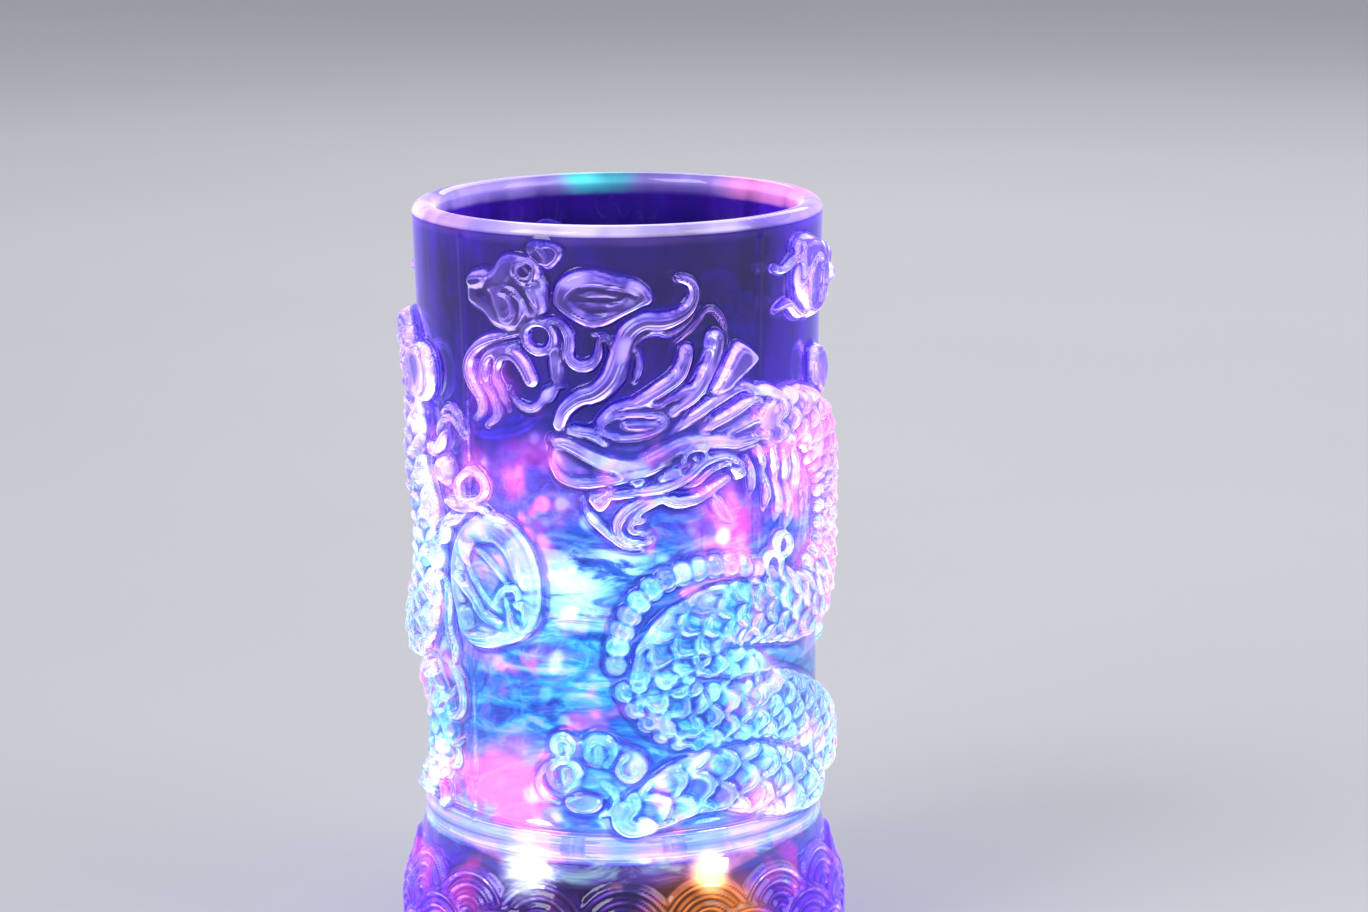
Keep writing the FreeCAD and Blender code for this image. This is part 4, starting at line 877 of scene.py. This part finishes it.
def outer_strength(nodes, cup, lines):
    """Strength of the light at the outer skin: sheen, raised fill, facet lines and pink places."""
    sheen = nodes.times(nodes.between(cup.level, 0.090, 0.120, 0.05, 0.16),
                        nodes.between(streaks(nodes), 0.35, 0.65, 0.35, 1.6))
    sheen = nodes.times(sheen, nodes.between(cup.sideways, 0.016, 0.036, 0.6, 2.2))
    dark_front = nodes.between(nodes.blob((-2, -42, 10), 34), 0.05, 0.45, 0.34, 0.02)
    skirt_sheen = nodes.times(nodes.between(cup.level, 0.029, 0.024), dark_front)
    body = nodes.times(cup.raised, nodes.between(cup.crest, -0.10, 0.16, 0.0, 1.4))
    body = nodes.times(body, nodes.between(nodes.noise(130.0, 3.0), 0.38, 0.62, 0.25, 1.6))
    body = nodes.times(body, cup.calm)
    body_light = nodes.value_ramp(cup.share, [
        (0.16, 0.05), (0.22, 0.30), (0.50, 0.30), (0.64, 0.34), (0.78, 0.30), (0.88, 0.10), (1.0, 0.06)])
    line_light = nodes.times(nodes.between(cup.level, 0.050, 0.105, 0.95, 2.2), cup.calm)
    strength = nodes.plus(sheen, skirt_sheen)
    for share, amount in ((body, body_light), (lines, line_light), (cup.pink, 0.35)):
        strength = nodes.plus(strength, nodes.times(share, amount))
    return strength


def rim_glow(nodes, cup):
    """Share and colour of the light piped up to the lip: pale in front, cyan and pink behind."""
    share = nodes.value_ramp(cup.lip, [(0.02, 0.0), (0.10, 0.50), (0.30, 0.42), (0.56, 0.34),
                                       (0.70, 0.60), (0.78, 0.60), (0.86, 0.25), (0.90, 0.0)])
    uneven = nodes.between(nodes.noise(75.0, 2.0), 0.35, 0.65, 0.55, 1.2)
    colour = (0.46, 0.34, 1.0)
    for centre, radius, tone in (((0, -38, CUP_TOP), 34, (0.85, 0.75, 1.0)),
                                 ((-34, -14, CUP_TOP), 20, (1.0, 0.62, 0.92)),
                                 ((33, 18, CUP_TOP), 24, (1.0, 0.30, 0.72)),
                                 ((-4, 37, CUP_TOP), 12, (0.10, 0.95, 1.0))):
        colour = nodes.mix(nodes.between(nodes.blob(centre, radius), 0.0, 0.6), colour, tone)
    return nodes.times(share, uneven), colour


def flare_glow(nodes, cup):
    """Share and colour of the ripples of light between the wall's foot and the waves."""
    lower = nodes.maths("SUBTRACT", cup.level, nodes.between(cup.sideways, 0.010, 0.032, 0.0, 0.004))
    zone = nodes.times(nodes.between(lower, 0.0222, 0.0246), nodes.between(cup.level, 0.0300, 0.0275))
    share = nodes.times(zone, nodes.between(cup.ripple, 0.36, 0.66, 0.25, 1.0))
    colour = nodes.ramp(cup.ripple, [
        (0.38, (0.14, 0.05, 0.62)), (0.50, (0.30, 0.16, 1.00)), (0.58, (0.34, 0.50, 1.00)),
        (0.68, (0.65, 1.00, 1.00))])
    pink = nodes.between(nodes.noise(100.0, 2.0), 0.50, 0.58, 0.0, 0.9)
    return share, nodes.mix(pink, colour, (1.0, 0.34, 0.78))


def lamp_spots(nodes, cup, glow):
    """The two front lamps show as bright spots through the top of the skirt."""
    ragged = nodes.between(cup.ripple, 0.35, 0.65, 0.60, 1.15)
    white_lamp = nodes.times(nodes.blob((-18.0, -34.5, 26), 10), ragged)
    white_lamp = nodes.between(white_lamp, 0.05, 0.90)
    amber_lamp = nodes.between(nodes.blob((16.5, -36.5, 25.5), 6.5), 0.0, 0.8)
    amber_lines = nodes.times(cup.amber, nodes.between(cup.edge, 0.2, 0.8, 0.05, 1.0))
    glow = nodes.mix(cup.amber, glow, (0.95, 0.24, 0.03))
    glow = nodes.mix(amber_lamp, glow, (1.0, 0.62, 0.20))
    glow = nodes.mix(white_lamp, glow, (0.85, 1.0, 0.92))
    lamps = nodes.plus(nodes.times(white_lamp, 1.3), nodes.times(amber_lamp, 3.0))
    return glow, nodes.plus(lamps, nodes.times(amber_lines, 0.55))


def lit_plastic():
    """Clear polystyrene with the light of the lamps below painted on, in its tint and as glow: cyan low,
    indigo high, pink at the sides.
    """
    nodes = Nodes("lit_plastic")
    cup = cup_fields(nodes)
    # the base colour carries painted lamp light and painted shade
    nodes.set("Base Color", painted_light_tint(nodes, cup))
    lines = facet_light(nodes, cup)
    glow = outer_colour(nodes, cup, lines)
    strength = outer_strength(nodes, cup, lines)
    rim, rim_colour = rim_glow(nodes, cup)
    glow = nodes.mix(nodes.between(rim, 0.0, 0.1), glow, rim_colour)
    strength = nodes.plus(strength, nodes.times(rim, 1.4))
    flare, flare_colour = flare_glow(nodes, cup)
    glow = nodes.mix(nodes.between(flare, 0.0, 0.2), glow, flare_colour)
    strength = nodes.plus(strength, nodes.times(flare, 0.45))
    bowl_colour, bowl_strength = bowl_pattern(nodes, cup)
    glow = nodes.mix(cup.inner, glow, bowl_colour)
    strength = nodes.make("ShaderNodeMix", {0: cup.inner, 2: strength, 3: bowl_strength}).outputs[0]
    glow, lamps = lamp_spots(nodes, cup, glow)
    # painted glow: the cup's emission stands in for the lamps' light carried through the plastic
    nodes.set("Emission Color", glow)
    nodes.set("Emission Strength", nodes.plus(strength, lamps))
    nodes.set("Roughness", 0.03)
    nodes.set("IOR", 1.59)
    nodes.set("Transmission Weight", 1.0)
    nodes.bump(nodes.noise(140.0, 2.0), 0.08, 0.0004)
    return nodes.material


def moulded(name, colour, roughness, grain=900.0, depth=0.25):
    """Moulded plastic or rubber with a fine grain and slightly uneven colour and gloss."""
    nodes = Nodes(name)
    tone = nodes.noise(60.0)
    darker = tuple(value * 0.75 for value in colour)
    nodes.set("Base Color", nodes.mix(tone, darker, colour))
    nodes.set("Roughness", nodes.between(nodes.noise(180.0), 0.2, 0.8, roughness - 0.07, roughness + 0.07))
    nodes.bump(nodes.noise(grain, 4.0), depth, 0.0002)
    return nodes.material


def metal(name, colour, roughness):
    """Bare metal with fine scratches."""
    nodes = Nodes(name)
    wear = nodes.noise(450.0, 5.0, 0.7)
    darker = tuple(value * 0.7 for value in colour)
    nodes.set("Base Color", nodes.mix(wear, darker, colour))
    nodes.set("Metallic", 1.0)
    nodes.set("Roughness", nodes.between(wear, 0.25, 0.75, roughness * 0.7, roughness * 1.4))
    nodes.bump(wear, 0.12, 0.0001)
    return nodes.material


def board_finish():
    """Green solder mask with copper tracks showing through."""
    nodes = Nodes("solder_mask")
    cells = nodes.make("ShaderNodeTexVoronoi", {"Vector": nodes.place, "Scale": 260.0},
                       feature="DISTANCE_TO_EDGE", distance="MANHATTAN")
    tracks = nodes.between(cells.outputs["Distance"], 0.04, 0.09, 1.0, 0.0)
    nodes.set("Base Color", nodes.mix(tracks, (0.010, 0.10, 0.035), (0.03, 0.22, 0.08)))
    nodes.set("Roughness", 0.32)
    nodes.bump(tracks, 0.4, 0.0001)
    return nodes.material


def lamp_epoxy(name, colour, strength):
    """Lit lamp: epoxy that shines most round its chip."""
    nodes = Nodes(name)
    level = nodes.make("ShaderNodeSeparateXYZ", {"Vector": nodes.place}).outputs["Z"]
    bright = nodes.between(level, 0.017, 0.024, 0.25, 1.0)
    pale = tuple(0.5 + 0.5 * value for value in colour)
    nodes.set("Base Color", colour + (1.0,))
    nodes.set("Emission Color", nodes.mix(bright, colour, pale))
    nodes.set("Emission Strength", nodes.times(bright, strength))
    nodes.set("Roughness", 0.1)
    return nodes.material


def make_finishes():
    return {
        "clear_cup": lit_plastic(),
        "black_plastic": moulded("black_plastic", (0.030, 0.030, 0.034), 0.50),
        "housing_plastic": moulded("housing_plastic", (0.028, 0.018, 0.020), 0.35, 600.0, 0.15),
        "door_plastic": moulded("door_plastic", (0.038, 0.038, 0.043), 0.55),
        "button_plastic": moulded("button_plastic", (0.62, 0.62, 0.66), 0.30, 700.0, 0.1),
        "plunger_plastic": moulded("plunger_plastic", (0.35, 0.04, 0.03), 0.35),
        "silicone": moulded("silicone", (0.70, 0.70, 0.67), 0.45, 500.0, 0.15),
        "foot_rubber": moulded("foot_rubber", (0.055, 0.055, 0.060), 0.75, 1200.0, 0.4),
        "screw_steel": metal("screw_steel", (0.62, 0.62, 0.64), 0.30),
        "sensor_steel": metal("sensor_steel", (0.74, 0.74, 0.76), 0.18),
        "tinned_wire": metal("tinned_wire", (0.72, 0.72, 0.69), 0.30),
        "lead_insulation": moulded("lead_insulation", (0.55, 0.03, 0.03), 0.40),
        "board_green": board_finish(),
        "chip_black": moulded("chip_black", (0.020, 0.020, 0.022), 0.45, 1500.0, 0.3),
        "capacitor_sleeve": moulded("capacitor_sleeve", (0.03, 0.05, 0.20), 0.30),
        "led_white": lamp_epoxy("led_white", (0.45, 0.92, 1.0), 30.0),
        "led_amber": lamp_epoxy("led_amber", (1.0, 0.45, 0.06), 30.0),
        "led_pink": lamp_epoxy("led_pink", (1.0, 0.08, 0.45), 24.0),
        "led_blue": lamp_epoxy("led_blue", (0.16, 0.12, 1.0), 24.0),
        "cell_steel": metal("cell_steel", (0.70, 0.70, 0.71), 0.25),
        "contact_nickel": metal("contact_nickel", (0.68, 0.65, 0.60), 0.28),
        "insert_brass": metal("insert_brass", (0.78, 0.58, 0.24), 0.30),
    }


def dress_nodes(finishes):
    """Give each CAD node the finish of its material slot in the record."""
    slots = {part["node"]: part["material_slot"] for part in frame["record"]["subparts"]}
    for name, node in frame["nodes"].items():
        node.data.materials.clear()
        node.data.materials.append(finishes[slots[name]])


# ---- stage, lights and camera ------------------------------------------------------------

def make_stage():
    """Wide pale floor, a hair below the foot ring, and an even grey room."""
    half = 8.0
    down = -0.2 * MM
    corners = [(-half, -half, down), (half, -half, down), (half, half, down), (-half, half, down)]
    mesh = bpy.data.meshes.new("floor")
    mesh.from_pydata(corners, [], [(0, 1, 2, 3)])
    floor = bpy.data.objects.new("floor", mesh)
    bpy.context.scene.collection.objects.link(floor)
    nodes = Nodes("pale_floor")
    nodes.set("Base Color", nodes.mix(nodes.noise(3.0), (0.60, 0.60, 0.62), (0.66, 0.66, 0.68)))
    nodes.set("Roughness", 0.6)
    mesh.materials.append(nodes.material)
    world = bpy.data.worlds.new("soft_room")
    bpy.context.scene.world = world
    world.use_nodes = True
    world.node_tree.nodes["Background"].inputs["Color"].default_value = (0.90, 0.92, 1.0, 1.0)
    world.node_tree.nodes["Background"].inputs["Strength"].default_value = 0.50


def soft_light(name, place, size, power):
    """Square soft box aimed at the middle of the cup."""
    light = bpy.data.lights.new(name, "AREA")
    light.size = size
    light.energy = power
    lamp = bpy.data.objects.new(name, light)
    lamp.location = place
    aim = Vector((0, 0, 0.07)) - Vector(place)
    lamp.rotation_euler = aim.to_track_quat("-Z", "Y").to_euler()
    bpy.context.scene.collection.objects.link(lamp)


def make_camera():
    """Long lens, a little above the cup and tilted down to it."""
    place = (0.0, -0.7414, 0.2468)
    pitch, yaw, roll = math.radians(11.57), math.radians(0.93), math.radians(0.37)
    data = bpy.data.cameras.new("camera")
    data.sensor_width = 36.0
    data.lens = 106.3
    data.clip_start = 0.05
    camera = bpy.data.objects.new("camera", data)
    turn = (Matrix.Rotation(-yaw, 4, "Z") @ Matrix.Rotation(math.pi / 2 - pitch, 4, "X")
            @ Matrix.Rotation(-roll, 4, "Z"))
    camera.matrix_world = Matrix.Translation(place) @ turn
    bpy.context.scene.collection.objects.link(camera)
    bpy.context.scene.camera = camera


finishes = make_finishes()
dress_nodes(finishes)
cup = make_cup()
cup.data.materials.append(finishes["clear_cup"])
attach(cup, "tumbler")
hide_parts("cup_body")
make_stage()
soft_light("key", (-0.9, -0.8, 1.1), 0.8, 9.0)
soft_light("fill", (1.0, -0.5, 0.8), 0.8, 4.0)
soft_light("back", (0.2, 1.1, 1.0), 0.9, 6.0)
make_camera()
bpy.context.scene.view_settings.view_transform = "Standard"
